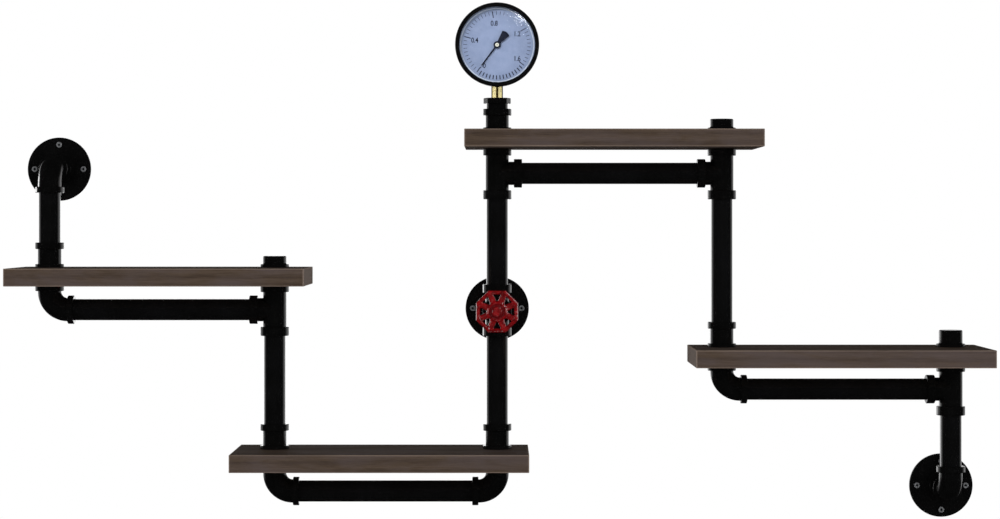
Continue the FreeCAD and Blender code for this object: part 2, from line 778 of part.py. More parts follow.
def gauge_body(label, rotation=None):
    """Body whose origin is the gauge's centre, on its stem's axis."""
    return new_body(label, column_3, pipe_plane, gauge_height, rotation)


stem = gauge_body("gauge_stem")
block_outer = "(dims.case_od / 2 - dims.case_wall - dims.case_ledge)"
half_depth = "dims.block_depth / 2"
block_corners = (
    (f"-{half_depth}", f"-{block_outer}"),
    (half_depth, f"-{block_outer}"),
    (half_depth, "-dims.block_inner_radius"),
    (f"-{half_depth}", "-dims.block_inner_radius"),
)
block = stem.newObject("PartDesign::Revolution", "block")
block.Profile = outline(stem, "YZ_Plane", block_corners)
block.ReferenceAxis = (block.Profile[0], ["H_Axis"])
block.Midplane = True
block.setExpression("Angle", "dims.block_angle")
stem.Tip = block
case_foot = "dims.case_od / 2"
neck_up = f"{case_foot} - {block_outer} + dims.block_root"
cylinder(stem, "neck", "+z", f"-({case_foot})", neck_up, "dims.stem_neck_od")
corner_to_front = 180.0 / hexagon
hex_foot = f"-({case_foot} + dims.stem_hex)"
prism(stem, "hexagon", "+z", hex_foot, "dims.stem_hex", "dims.stem_flats", hexagon, corner_to_front)
hex_middle = number(hex_foot) + size("stem_hex") / 2


def is_hex_corner(edge):
    """Upright edge of the stem's hexagon."""
    return straight_along(edge, "+z") and same(edge.CenterOfMass.z, hex_middle)


finish_edges(stem, "Fillet", "dims.stem_corner_round", is_hex_corner)
thread_foot = f"-({case_foot} + dims.stem_hex + dims.stem_thread)"
cylinder(stem, "thread", "+z", thread_foot, "dims.stem_thread", "dims.stem_thread_od")

case = gauge_body("gauge_case")
case_depth = "dims.case_back + dims.case_front"
dial_back = "(dims.dial_front - dims.dial_thickness)"
inner_back = "-(dims.case_back - dims.case_wall)"
cylinder(case, "shell", "-y", "-dims.case_back", case_depth, "dims.case_od")
deep_bore = f"2 * {block_outer}"
cylinder(case, "room", "-y", inner_back, f"{dial_back} - ({inner_back})", deep_bore, cut=True)
mouth_bore = "dims.case_od - 2 * dims.case_wall"
mouth_depth = f"dims.case_front - {dial_back}"
cylinder(case, "mouth", "-y", dial_back, mouth_depth, mouth_bore, cut=True)
stem_hole = "dims.stem_neck_od + 2 * dims.fit_clearance"
cylinder(case, "stem_hole", "-z", "dims.block_inner_radius", case_foot, stem_hole, cut=True)
round_rims(case, "dims.case_od", "dims.case_round")

bezel = gauge_body("gauge_bezel")
bezel_front = "(dims.case_front + dims.glass_thickness + dims.bezel_lip_thickness)"
bezel_back = f"({bezel_front} - dims.bezel_skirt)"
bezel_bore = "dims.case_od + 2 * dims.fit_clearance"
bezel_outer = f"({bezel_bore} + 2 * dims.bezel_wall)"
lip_back = f"({bezel_front} - dims.bezel_lip_thickness)"
cylinder(bezel, "ring", "-y", bezel_back, "dims.bezel_skirt", bezel_outer)
cylinder(bezel, "seat", "-y", bezel_back, f"{lip_back} - {bezel_back}", bezel_bore, cut=True)
sight = "dims.case_od - 2 * dims.bezel_overlap"
cylinder(bezel, "sight", "-y", bezel_back, "dims.bezel_skirt", sight, cut=True)
round_rims(bezel, bezel_outer, "dims.bezel_round")

glass = gauge_body("gauge_glass")
cylinder(glass, "pane", "-y", "dims.case_front", "dims.glass_thickness", "dims.case_od")

dial = gauge_body("gauge_dial")
dial_od = f"{mouth_bore} - 2 * dims.fit_clearance"
cylinder(dial, "disc", "-y", dial_back, "dims.dial_thickness", dial_od)
cylinder(dial, "hole", "-y", dial_back, "dims.dial_thickness", "dims.dial_hole", cut=True)

# The curved tube starts at the block and goes clockwise over the top to its free end.
start_angle = 90.0 + size("block_angle") / 2
tube_sweep = 360.0 - start_angle + size("tube_end_angle")
tube = gauge_body("bourdon_tube", FreeCAD.Rotation(toward["+y"], start_angle))


def oval(body, name, wide, high, cut):
    """Oval section swept about the gauge's axis."""
    sketch = body.newObject("Sketcher::SketchObject", "section")
    sketch.AttachmentSupport = (origin_item(body, "XY_Plane"), [""])
    sketch.MapMode = "FlatFace"
    centre = FreeCAD.Vector(number("dims.tube_radius"), 0, 0)
    half_wide = number(f"({wide}) / 2")
    half_high = number(f"({high}) / 2")
    tall_end = centre + FreeCAD.Vector(0, half_wide, 0)
    short_end = centre + FreeCAD.Vector(half_high, 0, 0)
    sketch.addGeometry(Part.Ellipse(tall_end, short_end, centre), False)
    kind = "Groove" if cut else "Revolution"
    swept = body.newObject(f"PartDesign::{kind}", name)
    swept.Profile = sketch
    swept.ReferenceAxis = (sketch, ["V_Axis"])
    swept.Angle = tube_sweep
    body.Tip = swept


oval(tube, "wall", "dims.tube_width", "dims.tube_height", False)
hollow_width = "dims.tube_width - 2 * dims.tube_wall"
hollow_height = "dims.tube_height - 2 * dims.tube_wall"
oval(tube, "hollow", hollow_width, hollow_height, True)


pivot_drop = "((dims.pinion_teeth + dims.sector_teeth) * dims.gear_module / 2)"


def movement_plate(label, back_face, pinion_pivot):
    """Plate on the block's face with holes for the pinion's and the sector's pivots."""
    body = gauge_body(label)
    foot_radius = f"({block_outer} - dims.block_root - dims.running_gap)"
    foot = f"-{foot_radius}"
    tall = f"dims.plate_top + {foot_radius}"
    lengths = ("dims.plate_width", "dims.plate_thickness", tall)
    box(body, "sheet", ("-dims.plate_width / 2", back_face, foot), lengths)
    start = f"-({back_face}) - dims.plate_thickness"
    pinion_hole = f"{pinion_pivot} + 2 * dims.running_fit"
    cylinder(body, "pinion_hole", "-y", start, "dims.plate_thickness", pinion_hole, cut=True)
    low = ("0", "0", f"-{pivot_drop}")
    sector_hole = "dims.pivot_od + 2 * dims.running_fit"
    cylinder(body, "sector_hole", "-y", start, "dims.plate_thickness", sector_hole, cut=True, offset=low)


movement_plate("movement_back_plate", half_depth, "dims.pivot_od")
movement_plate("movement_front_plate", f"-{half_depth} - dims.plate_thickness", "dims.arbor_od")


# Gear teeth are involute, a little thinner than half the pitch, with short tips.

pressure_angle = math.radians(size("pressure_angle"))
flank_points = 5


def gear_tooth(teeth, centre_angle):
    """Points of one tooth from its right foot over the tip to its left foot."""
    module = size("gear_module")
    pitch_radius = teeth * module / 2
    base_radius = pitch_radius * math.cos(pressure_angle)
    tip_radius = pitch_radius + size("tooth_tip") * module
    root_radius = pitch_radius - size("tooth_foot") * module
    thinning = size("gear_backlash") / 2 / pitch_radius
    half_angle = math.pi / 2 / teeth - thinning / 2 + math.tan(pressure_angle) - pressure_angle
    foot_radius = max(base_radius, root_radius)
    flank = []
    if root_radius < base_radius:
        flank.append((root_radius, half_angle))
    for step in range(flank_points):
        radius = foot_radius + (tip_radius - foot_radius) * step / (flank_points - 1)
        contact = math.acos(min(1.0, base_radius / radius))
        flank.append((radius, half_angle - (math.tan(contact) - contact)))
    right = [(radius, centre_angle - angle) for radius, angle in flank]
    left = [(radius, centre_angle + angle) for radius, angle in reversed(flank)]
    return [(radius * math.cos(angle), radius * math.sin(angle)) for radius, angle in right + left]


def solid_from(points, front, thickness):
    """Flat solid of an outline seen from the front, from its front face backwards."""
    corners = [FreeCAD.Vector(x, -front, z) for x, z in points]
    face = Part.Face(Part.makePolygon(corners + corners[:1]))
    return face.extrude(toward["+y"] * thickness)


def bar(diameter, back, front, x=0.0, z=0.0):
    """Round bar between two depths, forwards positive."""
    return Part.makeCylinder(diameter / 2, front - back, FreeCAD.Vector(x, -back, z), toward["-y"])


def scripted(label, shape):
    """Node with a worked-out shape, placed at the gauge's centre."""
    item = doc.addObject("Part::Feature", label)
    item.Label = label
    item.Shape = shape.removeSplitter()
    place(item, column_3, pipe_plane, gauge_height)
    nodes.append(item)


pinion_teeth = int(size("pinion_teeth"))
sector_teeth = int(size("sector_teeth"))
plate_back = -number(half_depth) - size("plate_thickness")
plate_front = number(half_depth)
pointer_back = size("dial_front") + size("pointer_lift")
pinion_pitch = 2 * math.pi / pinion_teeth
sector_pitch = 2 * math.pi / sector_teeth
straight_down = -math.pi / 2
straight_up = math.pi / 2

# A gap of the pinion faces straight down, where a tooth of the sector points up into it.
pinion_outline = []
for index in range(pinion_teeth):
    pinion_outline += gear_tooth(pinion_teeth, straight_down + (index + 0.5) * pinion_pitch)
half_face = size("pinion_face") / 2
pinion = solid_from(pinion_outline, half_face, size("pinion_face"))
arbor = bar(size("pivot_od"), plate_back, half_face)
arbor = arbor.fuse(bar(size("arbor_od"), half_face, pointer_back + size("pointer_hub")))
scripted("pinion_arbor", pinion.fuse(arbor))

# The sector's teeth lie to the right of the pinion at rest, and its tail points away from them.
teeth_before = 2
sector_points = []
last_tooth = teeth_before - int(size("sector_cut_teeth")) + 1
for index in range(last_tooth, teeth_before + 1):
    sector_points += gear_tooth(sector_teeth, straight_up + index * sector_pitch)
half_swing = math.radians(size("sector_swing")) / 2
middle_line = straight_up - half_swing
sector_centre = (0.0, -number(pivot_drop))
arm_half = size("sector_arm") / 2
tail_line = middle_line - math.pi
tail_x = size("tail_length") * math.cos(tail_line)
tail_z = size("tail_length") * math.sin(tail_line)


def moved(points, centre):
    """Outline shifted to a centre."""
    return [(x + centre[0], z + centre[1]) for x, z in points]


def strip(start, end, half_width):
    """Corners of a straight bar between two points."""
    angle = math.atan2(end[1] - start[1], end[0] - start[0])
    across = (-math.sin(angle) * half_width, math.cos(angle) * half_width)
    return [
        (start[0] - across[0], start[1] - across[1]),
        (end[0] - across[0], end[1] - across[1]),
        (end[0] + across[0], end[1] + across[1]),
        (start[0] + across[0], start[1] + across[1]),
    ]


gear_half = size("gear_thickness") / 2
hub_edge = [(-arm_half, 0.0), (arm_half, 0.0)]
fan = moved(sector_points + hub_edge, sector_centre)
sector = solid_from(fan, gear_half, size("gear_thickness"))
tail_pin = (sector_centre[0] + tail_x, sector_centre[1] + tail_z)
tail = solid_from(strip(sector_centre, tail_pin, arm_half), gear_half, size("gear_thickness"))
tail_eye = bar(size("link_eye_od"), -gear_half, gear_half, *tail_pin)
hub = bar(size("sector_hub_od"), -half_face, half_face, *sector_centre)
clear = size("running_gap")
axle_back = plate_back + size("plate_thickness") + clear
axle = bar(size("arbor_od"), axle_back, plate_front - clear, *sector_centre)
pivots = bar(size("pivot_od"), plate_back, plate_front + size("plate_thickness"), *sector_centre)
sector = sector.fuse([tail, tail_eye, hub, axle, pivots])
eye_hole = size("link_pin_od") + 2 * size("running_fit")
sector = sector.cut(bar(eye_hole, -gear_half, gear_half, *tail_pin))
scripted("sector_gear", sector)

# The link reaches from the tail to the lug on the tube's free end.
eye_angle = math.radians(-size("tube_end_angle") - size("link_eye_angle"))
lug_spot = (size("tube_radius") * math.cos(eye_angle), size("tube_radius") * math.sin(eye_angle))
link_back = gear_half + clear
link_front = link_back + size("link_thickness")
link = solid_from(strip(tail_pin, lug_spot, size("link_width") / 2), link_front, size("link_thickness"))
link_ends = [bar(size("link_eye_od"), link_back, link_front, *spot) for spot in (tail_pin, lug_spot)]
link_pin = bar(size("link_pin_od"), -gear_half - clear, link_front, *tail_pin)
scripted("gauge_link", link.fuse(link_ends + [link_pin]))

# The lug closes the tube's free end and stops just behind the link.
lug_front = gear_half
lug_back = lug_front - size("lug_thickness")
inner = size("tube_radius") - size("lug_width") / 2
outer = size("tube_radius") + size("lug_width") / 2
lug_start = math.radians(-size("tube_end_angle"))
lug_end = math.radians(-size("tube_end_angle") - size("lug_angle"))
lug_points = [
    (inner * math.cos(lug_start), inner * math.sin(lug_start)),
    (outer * math.cos(lug_start), outer * math.sin(lug_start)),
    (outer * math.cos(lug_end), outer * math.sin(lug_end)),
    (inner * math.cos(lug_end), inner * math.sin(lug_end)),
]
scripted("tube_tip", solid_from(lug_points, lug_front, size("lug_thickness")))


# Pointer, at rest on the scale's zero at the lower left

quarter_turn = 90.0
pointer = gauge_body("gauge_pointer", FreeCAD.Rotation(toward["+y"], -quarter_turn - size("pointer_rest")))
needle_corners = (
    ("0", "-dims.pointer_base / 2"),
    ("dims.pointer_length", "-dims.pointer_tip / 2"),
    ("dims.pointer_length", "dims.pointer_tip / 2"),
    ("0", "dims.pointer_base / 2"),
)
tail_corners = (
    ("0", "-dims.pointer_tail_neck / 2"),
    ("0", "dims.pointer_tail_neck / 2"),
    ("-dims.pointer_tail", "dims.pointer_tail_end / 2"),
    ("-dims.pointer_tail", "-dims.pointer_tail_end / 2"),
)
cylinder(pointer, "hub", "-y", pointer_back, "dims.pointer_hub", "dims.pointer_hub_od")
for name, corners in (("needle", needle_corners), ("tail", tail_corners)):
    sheet_outline = outline(pointer, "XZ_Plane", corners)
    middle = pointer_back + size("pointer_hub") / 2
    sheet_outline.AttachmentOffset = FreeCAD.Placement(FreeCAD.Vector(0, 0, middle), FreeCAD.Rotation())
    blade = pointer.newObject("PartDesign::Pad", name)
    blade.Profile = sheet_outline
    blade.setExpression("Length", "dims.pointer_thickness")
    pointer.Tip = blade
cap_start = pointer_back + size("pointer_hub")
cylinder(pointer, "cap", "-y", cap_start, "dims.pointer_cap", "dims.pointer_cap_od")
arbor_hole = "dims.arbor_od + 2 * dims.fit_clearance"
cylinder(pointer, "arbor_hole", "-y", pointer_back, "dims.pointer_hub", arbor_hole, cut=True)


# Check and write

doc.recompute()
failed = [item.Label for item in doc.Objects if "Invalid" in item.State or "Error" in item.State]
if failed:
    raise RuntimeError("features failed: " + ", ".join(failed))
os.makedirs("parts", exist_ok=True)
for item in nodes:
    shape = item.Shape
    if shape.isNull() or not shape.isValid() or not shape.Solids:
        raise RuntimeError("no valid solid in " + item.Label)
    shape.exportStep(os.path.join("parts", item.Label + ".step"))
    print(f"{item.Label}: {len(shape.Solids)} solids, {shape.Volume:.1f} mm3")
print(len(nodes), "nodes")
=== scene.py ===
import math

import bpy
import numpy as np
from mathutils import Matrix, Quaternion, Vector


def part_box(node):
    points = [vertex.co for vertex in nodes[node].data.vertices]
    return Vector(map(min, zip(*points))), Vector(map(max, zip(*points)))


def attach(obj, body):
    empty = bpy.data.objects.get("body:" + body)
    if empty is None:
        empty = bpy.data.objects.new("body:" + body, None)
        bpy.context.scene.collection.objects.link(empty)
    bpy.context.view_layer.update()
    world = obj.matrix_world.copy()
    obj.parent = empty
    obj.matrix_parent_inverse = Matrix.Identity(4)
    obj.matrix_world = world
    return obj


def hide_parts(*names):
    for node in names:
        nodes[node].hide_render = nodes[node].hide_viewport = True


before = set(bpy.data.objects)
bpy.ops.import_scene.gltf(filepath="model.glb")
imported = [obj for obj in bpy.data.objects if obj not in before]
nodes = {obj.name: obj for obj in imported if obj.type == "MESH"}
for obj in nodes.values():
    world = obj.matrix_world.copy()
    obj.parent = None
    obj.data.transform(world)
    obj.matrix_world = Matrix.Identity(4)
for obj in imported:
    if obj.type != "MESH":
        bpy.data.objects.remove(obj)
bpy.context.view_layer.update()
print("frame loaded:", len(nodes), "nodes")


# camera

cameraSetup = {
    "place": (0.003, -3.260, 0.1103),  # straight in front, higher than the upper left board
    "lens": 90.5,
    "sensor": 36.0,
    "shiftX": 0.0005,
    "shiftY": -0.0365,
}


def makeCamera(setup):
    data = bpy.data.cameras.new("camera")
    data.lens = setup["lens"]
    data.sensor_width = setup["sensor"]
    data.shift_x = setup["shiftX"]
    data.shift_y = setup["shiftY"]
    camera = bpy.data.objects.new("camera", data)
    camera.location = setup["place"]
    camera.rotation_euler = (math.radians(90), 0, 0)
    bpy.context.scene.collection.objects.link(camera)
    bpy.context.scene.camera = camera


makeCamera(cameraSetup)
print("camera set")


# shader helpers

def linearColour(hexText):
    # sRGB hex to linear light: c / 12.92 in the dark toe, else ((c + 0.055) / 1.055) ^ 2.4
    channels = [int(hexText[start:start + 2], 16) / 255 for start in (1, 3, 5)]
    linear = [c / 12.92 if c <= 0.04045 else ((c + 0.055) / 1.055) ** 2.4 for c in channels]
    return linear + [1.0]


def addNode(tree, kind, fields=None, inputs=None, stops=None):
    # adds one node: fields are its own settings, inputs are values or sockets, stops fill a colour ramp
    node = tree.nodes.new(kind)
    for name, value in (fields or {}).items():
        setattr(node, name, value)
    for key, value in (inputs or {}).items():
        if isinstance(value, bpy.types.NodeSocket):
            tree.links.new(value, node.inputs[key])
        else:
            node.inputs[key].default_value = value
    for index, (position, colour) in enumerate(stops or []):
        ramp = node.color_ramp.elements
        stop = ramp[index] if index < 2 else ramp.new(position)
        stop.position = position
        stop.color = colour
    return node


def startMaterial(name):
    material = bpy.data.materials.new(name)
    material.use_nodes = True
    material.node_tree.nodes.clear()
    return material, material.node_tree


def endMaterial(material, shader):
    addNode(material.node_tree, "ShaderNodeOutputMaterial", inputs={"Surface": shader.outputs[0]})
    return material


def perMillimetre(size):
    # texture scale whose features are this many millimetres apart
    return 1000.0 / size


def middleOf(nodeName):
    # the middle of a CAD node's box
    low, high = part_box(nodeName)
    return [(a + b) / 2 for a, b in zip(low, high)]


def centredOn(tree, point, free):
    # coordinates from a point, with one axis flattened to zero
    place = addNode(tree, "ShaderNodeTexCoord").outputs["Object"]
    shift = [-value for value in point]
    keep = [1.0, 1.0, 1.0]
    shift[free] = keep[free] = 0.0
    return addNode(tree, "ShaderNodeMapping", inputs={
        "Vector": place, "Location": tuple(shift), "Scale": tuple(keep)}).outputs["Vector"]


def distanceFrom(tree, point, free):
    # distance from a point, with one axis left out
    return addNode(tree, "ShaderNodeVectorMath", {"operation": "LENGTH"}, {
        0: centredOn(tree, point, free)}).outputs["Value"]


def shadeOver(material, distance, start, end, shade):
    # mixes a shade into the base colour, wholly at the start distance and not at all from the end
    tree = material.node_tree
    shader = next(node for node in tree.nodes if node.type == "BSDF_PRINCIPLED")
    share = addNode(tree, "ShaderNodeMapRange", {"interpolation_type": "SMOOTHSTEP"}, {
        "Value": distance, "From Min": min(start, end), "From Max": max(start, end),
        "To Min": float(start < end), "To Max": float(start > end)})
    colour = addNode(tree, "ShaderNodeMix", {"data_type": "RGBA"}, {
        0: share.outputs["Result"], 6: shader.inputs["Base Color"].links[0].from_socket,
        7: linearColour(shade)})
    tree.links.new(colour.outputs[2], shader.inputs["Base Color"])
    return material


def wear(*names, material):
    # puts one material on CAD nodes
    for name in names:
        mesh = nodes[name].data
        mesh.materials.clear()
        mesh.materials.append(material)


def addMesh(name, points, faces, material, body="frame"):
    # a new piece in the frame's own coordinates, riding on a body
    mesh = bpy.data.meshes.new(name)
    mesh.from_pydata(points.tolist(), [], faces.tolist() if isinstance(faces, np.ndarray) else faces)
    mesh.materials.append(material)
    mesh.update()
    piece = bpy.data.objects.new(name, mesh)
    bpy.context.scene.collection.objects.link(piece)
    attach(piece, body)
    return piece


def joined(blocks):
    # puts (points, faces) blocks together, each block's faces counted on from the points before it
    faces = []
    count = 0
    for blockPoints, blockFaces in blocks:
        faces += [[int(index) + count for index in face] for face in blockFaces]
        count += len(blockPoints)
    return np.concatenate([block[0] for block in blocks]), faces


# black powder coat on drawn steel pipe: smooth, slightly wavy, a soft sheen at the edges
pipeCoat = {
    "colour": "#070707",
    "dusty": "#0b0b0c",
    "roughness": 0.15,
    "roughnessSpread": 0.04,
    "peel": 3.0,  # mm; real orange peel is under 1 mm, drawn coarser so that it shows
    "cloud": 45.0,  # mm
    "bump": 0.12,
}
coatRelief = 0.0004  # m, how high the ripples of a coat stand at full bump


def powderCoat(name, coat):
    material, tree = startMaterial(name)
    place = addNode(tree, "ShaderNodeTexCoord").outputs["Object"]
    peel = addNode(tree, "ShaderNodeTexNoise", inputs={
        "Vector": place, "Scale": perMillimetre(coat["peel"]), "Detail": 3.0, "Roughness": 0.6})
    cloud = addNode(tree, "ShaderNodeTexNoise", inputs={
        "Vector": place, "Scale": perMillimetre(coat["cloud"]), "Detail": 4.0, "Roughness": 0.65})
    tone = addNode(tree, "ShaderNodeValToRGB", inputs={"Fac": cloud.outputs["Fac"]}, stops=[
        (0.35, linearColour(coat["colour"])), (0.75, linearColour(coat["dusty"]))])
    rough = addNode(tree, "ShaderNodeMapRange", inputs={
        "Value": cloud.outputs["Fac"],
        "To Min": coat["roughness"] - coat["roughnessSpread"],
        "To Max": coat["roughness"] + coat["roughnessSpread"]})
    bump = addNode(tree, "ShaderNodeBump", inputs={
        "Height": peel.outputs["Fac"], "Strength": coat["bump"], "Distance": coatRelief})
    shader = addNode(tree, "ShaderNodeBsdfPrincipled", inputs={
        "Base Color": tone.outputs["Color"], "Roughness": rough.outputs["Result"],
        "Normal": bump.outputs["Normal"], "IOR": 1.5})
    return endMaterial(material, shader)


# black paint on cast malleable iron: the sand grain of the mould shows through as a fine pebble
castCoat = {
    "colour": "#050505",
    "dusty": "#090909",
    "roughness": 0.19,
    "roughnessSpread": 0.05,
    "peel": 2.2,
    "cloud": 18.0,
    "bump": 0.2,
}

blackPipe = powderCoat("powder_coated_steel_pipe", pipeCoat)
blackCasting = powderCoat("black_painted_cast_iron", castCoat)

pipeNames = [name for name in nodes if name.endswith(("_pipe", "_rail"))] + ["board_nipples"]
castNames = [name for name in nodes if name.endswith(
    ("_elbow", "_tee", "_coupling", "_cap", "_flange"))]
castNames += ["cross_fitting", "valve_bonnet", "gauge_bushing"]
wear(*pipeNames, material=blackPipe)
wear(*castNames, material=blackCasting)
print("black ironwork:", len(pipeNames) + len(castNames), "nodes")


# walnut-stained pine boards: straight fine grain along the length, growth rings on the ends
boardWood = {
    "dark": "#322924",
    "middle": "#43382f",
    "light": "#52463e",
    "ash": "#473f3f",  # where the stain took greyer
    "endGrain": "#675d57",
    # the painted highlight's colour along the arrises
    "arrisHighlight": "#7a6b60",
    "ring": 10.6814,  # mm between the growth rings of fast-grown pine
    "fibre": 0.7,  # mm; real fibres are finer, drawn coarser so that they show
    "streak": 5.0,  # mm
    "patch": 34.0,  # mm
    "ringShare": 0.10,  # how much each pattern adds to the tone
    "fibreShare": 0.50,
    "streakShare": 0.22,
    "patchShare": 0.26,
    "fibreStretch": 0.03,  # width over length of the fibres and streaks, patches and rings' waves
    "patchStretch": 0.3,
    "ringStretch": 0.25,
    "ashRange": (0.42, 0.62),  # the patches' tones over which the grey sets in
    "ashAmount": 0.6,
    "roughness": 0.85,
    "dullFibre": 0.12,  # how much rougher the dark fibres are, and how much smoother the pale ones
    "paleFibre": 0.1,
    "specular": 0.012,  # a dull wiped stain, with no varnish over it
    "bump": 0.3,
    "relief": 0.0006,
    "arrisHighlightWidth": 0.0019,
    "arrisHighlightAmount": 1.3,
    "endAmount": 0.8,
    "pithHeight": -0.19,  # the tree's centre, from the board's middle, m
    "pithSway": 0.02,  # how far it strays from board to board, m
    "pithTilt": 0.03,  # and how it leans, radians
    "pithTwist": 0.02,
}


def boardMaterial(name, wood, lowest, highest, seed):
    material, tree = startMaterial(name)
    middle = (lowest + highest) / 2
    half = (highest - lowest) / 2
    place = addNode(tree, "ShaderNodeTexCoord").outputs["Object"]
    centred = addNode(tree, "ShaderNodeMapping", inputs={"Vector": place, "Location": tuple(-middle)})

    # the seed moves each board to its own stretch of the patterns
    along = addNode(tree, "ShaderNodeMapping", inputs={
        "Vector": centred.outputs["Vector"], "Location": (seed, seed * 0.37, seed * 0.71),
        "Scale": (wood["fibreStretch"], 1.0, 1.0)})
    wide = addNode(tree, "ShaderNodeMapping", inputs={
        "Vector": centred.outputs["Vector"], "Location": (seed * 1.9, seed, 0.0),
        "Scale": (wood["patchStretch"], 1.0, 1.0)})
    rings = addNode(tree, "ShaderNodeMapping", inputs={
        "Vector": centred.outputs["Vector"],
        "Location": (0.0, wood["pithSway"] * math.sin(seed * 9), -wood["pithHeight"]),
        "Rotation": (0.0, wood["pithTilt"] * math.cos(seed * 5), wood["pithTwist"]),
        "Scale": (wood["ringStretch"], 1.0, 1.0)})

    # the wave texture comes round once in 2 pi / 20 of its own units
    growth = addNode(tree, "ShaderNodeTexWave", {"wave_type": "RINGS", "rings_direction": "X"}, {
        "Vector": rings.outputs["Vector"], "Scale": 2 * math.pi / 20 * perMillimetre(wood["ring"]),
        "Distortion": 2.2, "Detail": 3.0, "Detail Scale": 1.6, "Detail Roughness": 0.65})
    fibre = addNode(tree, "ShaderNodeTexNoise", inputs={
        "Vector": along.outputs["Vector"], "Scale": perMillimetre(wood["fibre"]),
        "Detail": 5.0, "Roughness": 0.7})
    streak = addNode(tree, "ShaderNodeTexNoise", inputs={
        "Vector": along.outputs["Vector"], "Scale": perMillimetre(wood["streak"]),
        "Detail": 3.0, "Roughness": 0.55, "Distortion": 0.4})
    patch = addNode(tree, "ShaderNodeTexNoise", inputs={
        "Vector": wide.outputs["Vector"], "Scale": perMillimetre(wood["patch"]),
        "Detail": 5.0, "Roughness": 0.6, "Distortion": 0.5})
    ringTone = addNode(tree, "ShaderNodeMath", {"operation": "MULTIPLY"}, {
        0: growth.outputs["Fac"], 1: wood["ringShare"]})
    fibreTone = addNode(tree, "ShaderNodeMath", {"operation": "MULTIPLY_ADD"}, {
        0: fibre.outputs["Fac"], 1: wood["fibreShare"], 2: ringTone.outputs[0]})
    streakTone = addNode(tree, "ShaderNodeMath", {"operation": "MULTIPLY_ADD"}, {
        0: streak.outputs["Fac"], 1: wood["streakShare"], 2: fibreTone.outputs[0]})
    grain = addNode(tree, "ShaderNodeMath", {"operation": "MULTIPLY_ADD"}, {
        0: patch.outputs["Fac"], 1: wood["patchShare"], 2: streakTone.outputs[0]})
    brown = addNode(tree, "ShaderNodeValToRGB", inputs={"Fac": grain.outputs[0]}, stops=[
        (0.38, linearColour(wood["dark"])), (0.72, linearColour(wood["light"])),
        (0.54, linearColour(wood["middle"]))])
    greyer = addNode(tree, "ShaderNodeMapRange", inputs={
        "Value": patch.outputs["Fac"], "From Min": wood["ashRange"][0], "From Max": wood["ashRange"][1],
        "To Max": wood["ashAmount"]})
    stain = addNode(tree, "ShaderNodeMix", {"data_type": "RGBA"}, {
        0: greyer.outputs["Result"], 6: brown.outputs["Color"], 7: linearColour(wood["ash"])})

    # painted highlight along the arrises: near 1 where the point is close to two of the board's faces at
    # once
    sides = addNode(tree, "ShaderNodeSeparateXYZ", inputs={"Vector": centred.outputs["Vector"]})
    near = []
    for axis in range(3):
        size = addNode(tree, "ShaderNodeMath", {"operation": "ABSOLUTE"}, {0: sides.outputs[axis]})
        near.append(addNode(tree, "ShaderNodeMapRange", {"interpolation_type": "SMOOTHSTEP"}, {
            "Value": size.outputs[0],
            "From Min": half[axis] - wood["arrisHighlightWidth"], "From Max": half[axis]}))
    pairs = [addNode(tree, "ShaderNodeMath", {"operation": "MULTIPLY"}, {
        0: near[first].outputs[0], 1: near[second].outputs[0]})
        for first, second in ((0, 1), (1, 2), (0, 2))]
    arris = pairs[0].outputs[0]
    for pair in pairs[1:]:
        arris = addNode(tree, "ShaderNodeMath", {"operation": "MAXIMUM"}, {
            0: arris, 1: pair.outputs[0]}).outputs[0]
    # the painted highlight is broken up by the streaks
    streakedArris = addNode(tree, "ShaderNodeMath", {"operation": "MULTIPLY"}, {
        0: arris, 1: streak.outputs["Fac"]})
    arrisLit = addNode(tree, "ShaderNodeMath", {"operation": "MULTIPLY", "use_clamp": True}, {
        0: streakedArris.outputs[0], 1: wood["arrisHighlightAmount"]})
    endShare = addNode(tree, "ShaderNodeMath", {"operation": "MULTIPLY"}, {
        0: near[0].outputs[0], 1: wood["endAmount"]})
    ended = addNode(tree, "ShaderNodeMix", {"data_type": "RGBA"}, {
        0: endShare.outputs[0], 6: stain.outputs[2], 7: linearColour(wood["endGrain"])})
    colour = addNode(tree, "ShaderNodeMix", {"data_type": "RGBA"}, {
        0: arrisLit.outputs[0], 6: ended.outputs[2], 7: linearColour(wood["arrisHighlight"])})
    bump = addNode(tree, "ShaderNodeBump", inputs={
        "Height": fibreTone.outputs[0], "Strength": wood["bump"], "Distance": wood["relief"]})
    rough = addNode(tree, "ShaderNodeMapRange", inputs={
        "Value": fibre.outputs["Fac"], "To Min": wood["roughness"] + wood["dullFibre"],
        "To Max": wood["roughness"] - wood["paleFibre"]})
    shader = addNode(tree, "ShaderNodeBsdfPrincipled", inputs={
        "Base Color": colour.outputs[2], "Roughness": rough.outputs["Result"],
        "Normal": bump.outputs["Normal"], "IOR": 1.45, "Specular IOR Level": wood["specular"]})
    return endMaterial(material, shader)


boardSeeds = {"upper_left_board": 0.31, "top_board": 0.84, "low_board": 1.27, "right_board": 1.73}
for boardName, boardSeed in boardSeeds.items():
    boardLow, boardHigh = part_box(boardName)
    wear(boardName, material=boardMaterial(
        "walnut_stained_pine_" + boardName, boardWood, Vector(boardLow), Vector(boardHigh), boardSeed))
print("boards:", len(boardSeeds))


# stoved enamel on the cast handwheel: deep, wet-looking red, with a painted shade in the dish round the
# nut
wheelEnamel = {
    "colour": "#6e060a",
    "deep": "#4a0406",
    "dishShade": "#480306",
    "dishShadeRadius": 0.0078,  # the painted shade is darkest on this radius, in the dish round the nut
    "dishShadeHalf": 0.0034,  # and fades out over this far to each side
    "roughness": 0.2,
    "coat": 0.6,
    "coatRoughness": 0.06,
    "ripple": 5.0,  # mm
    "bump": 0.12,
    "relief": 0.0005,
}


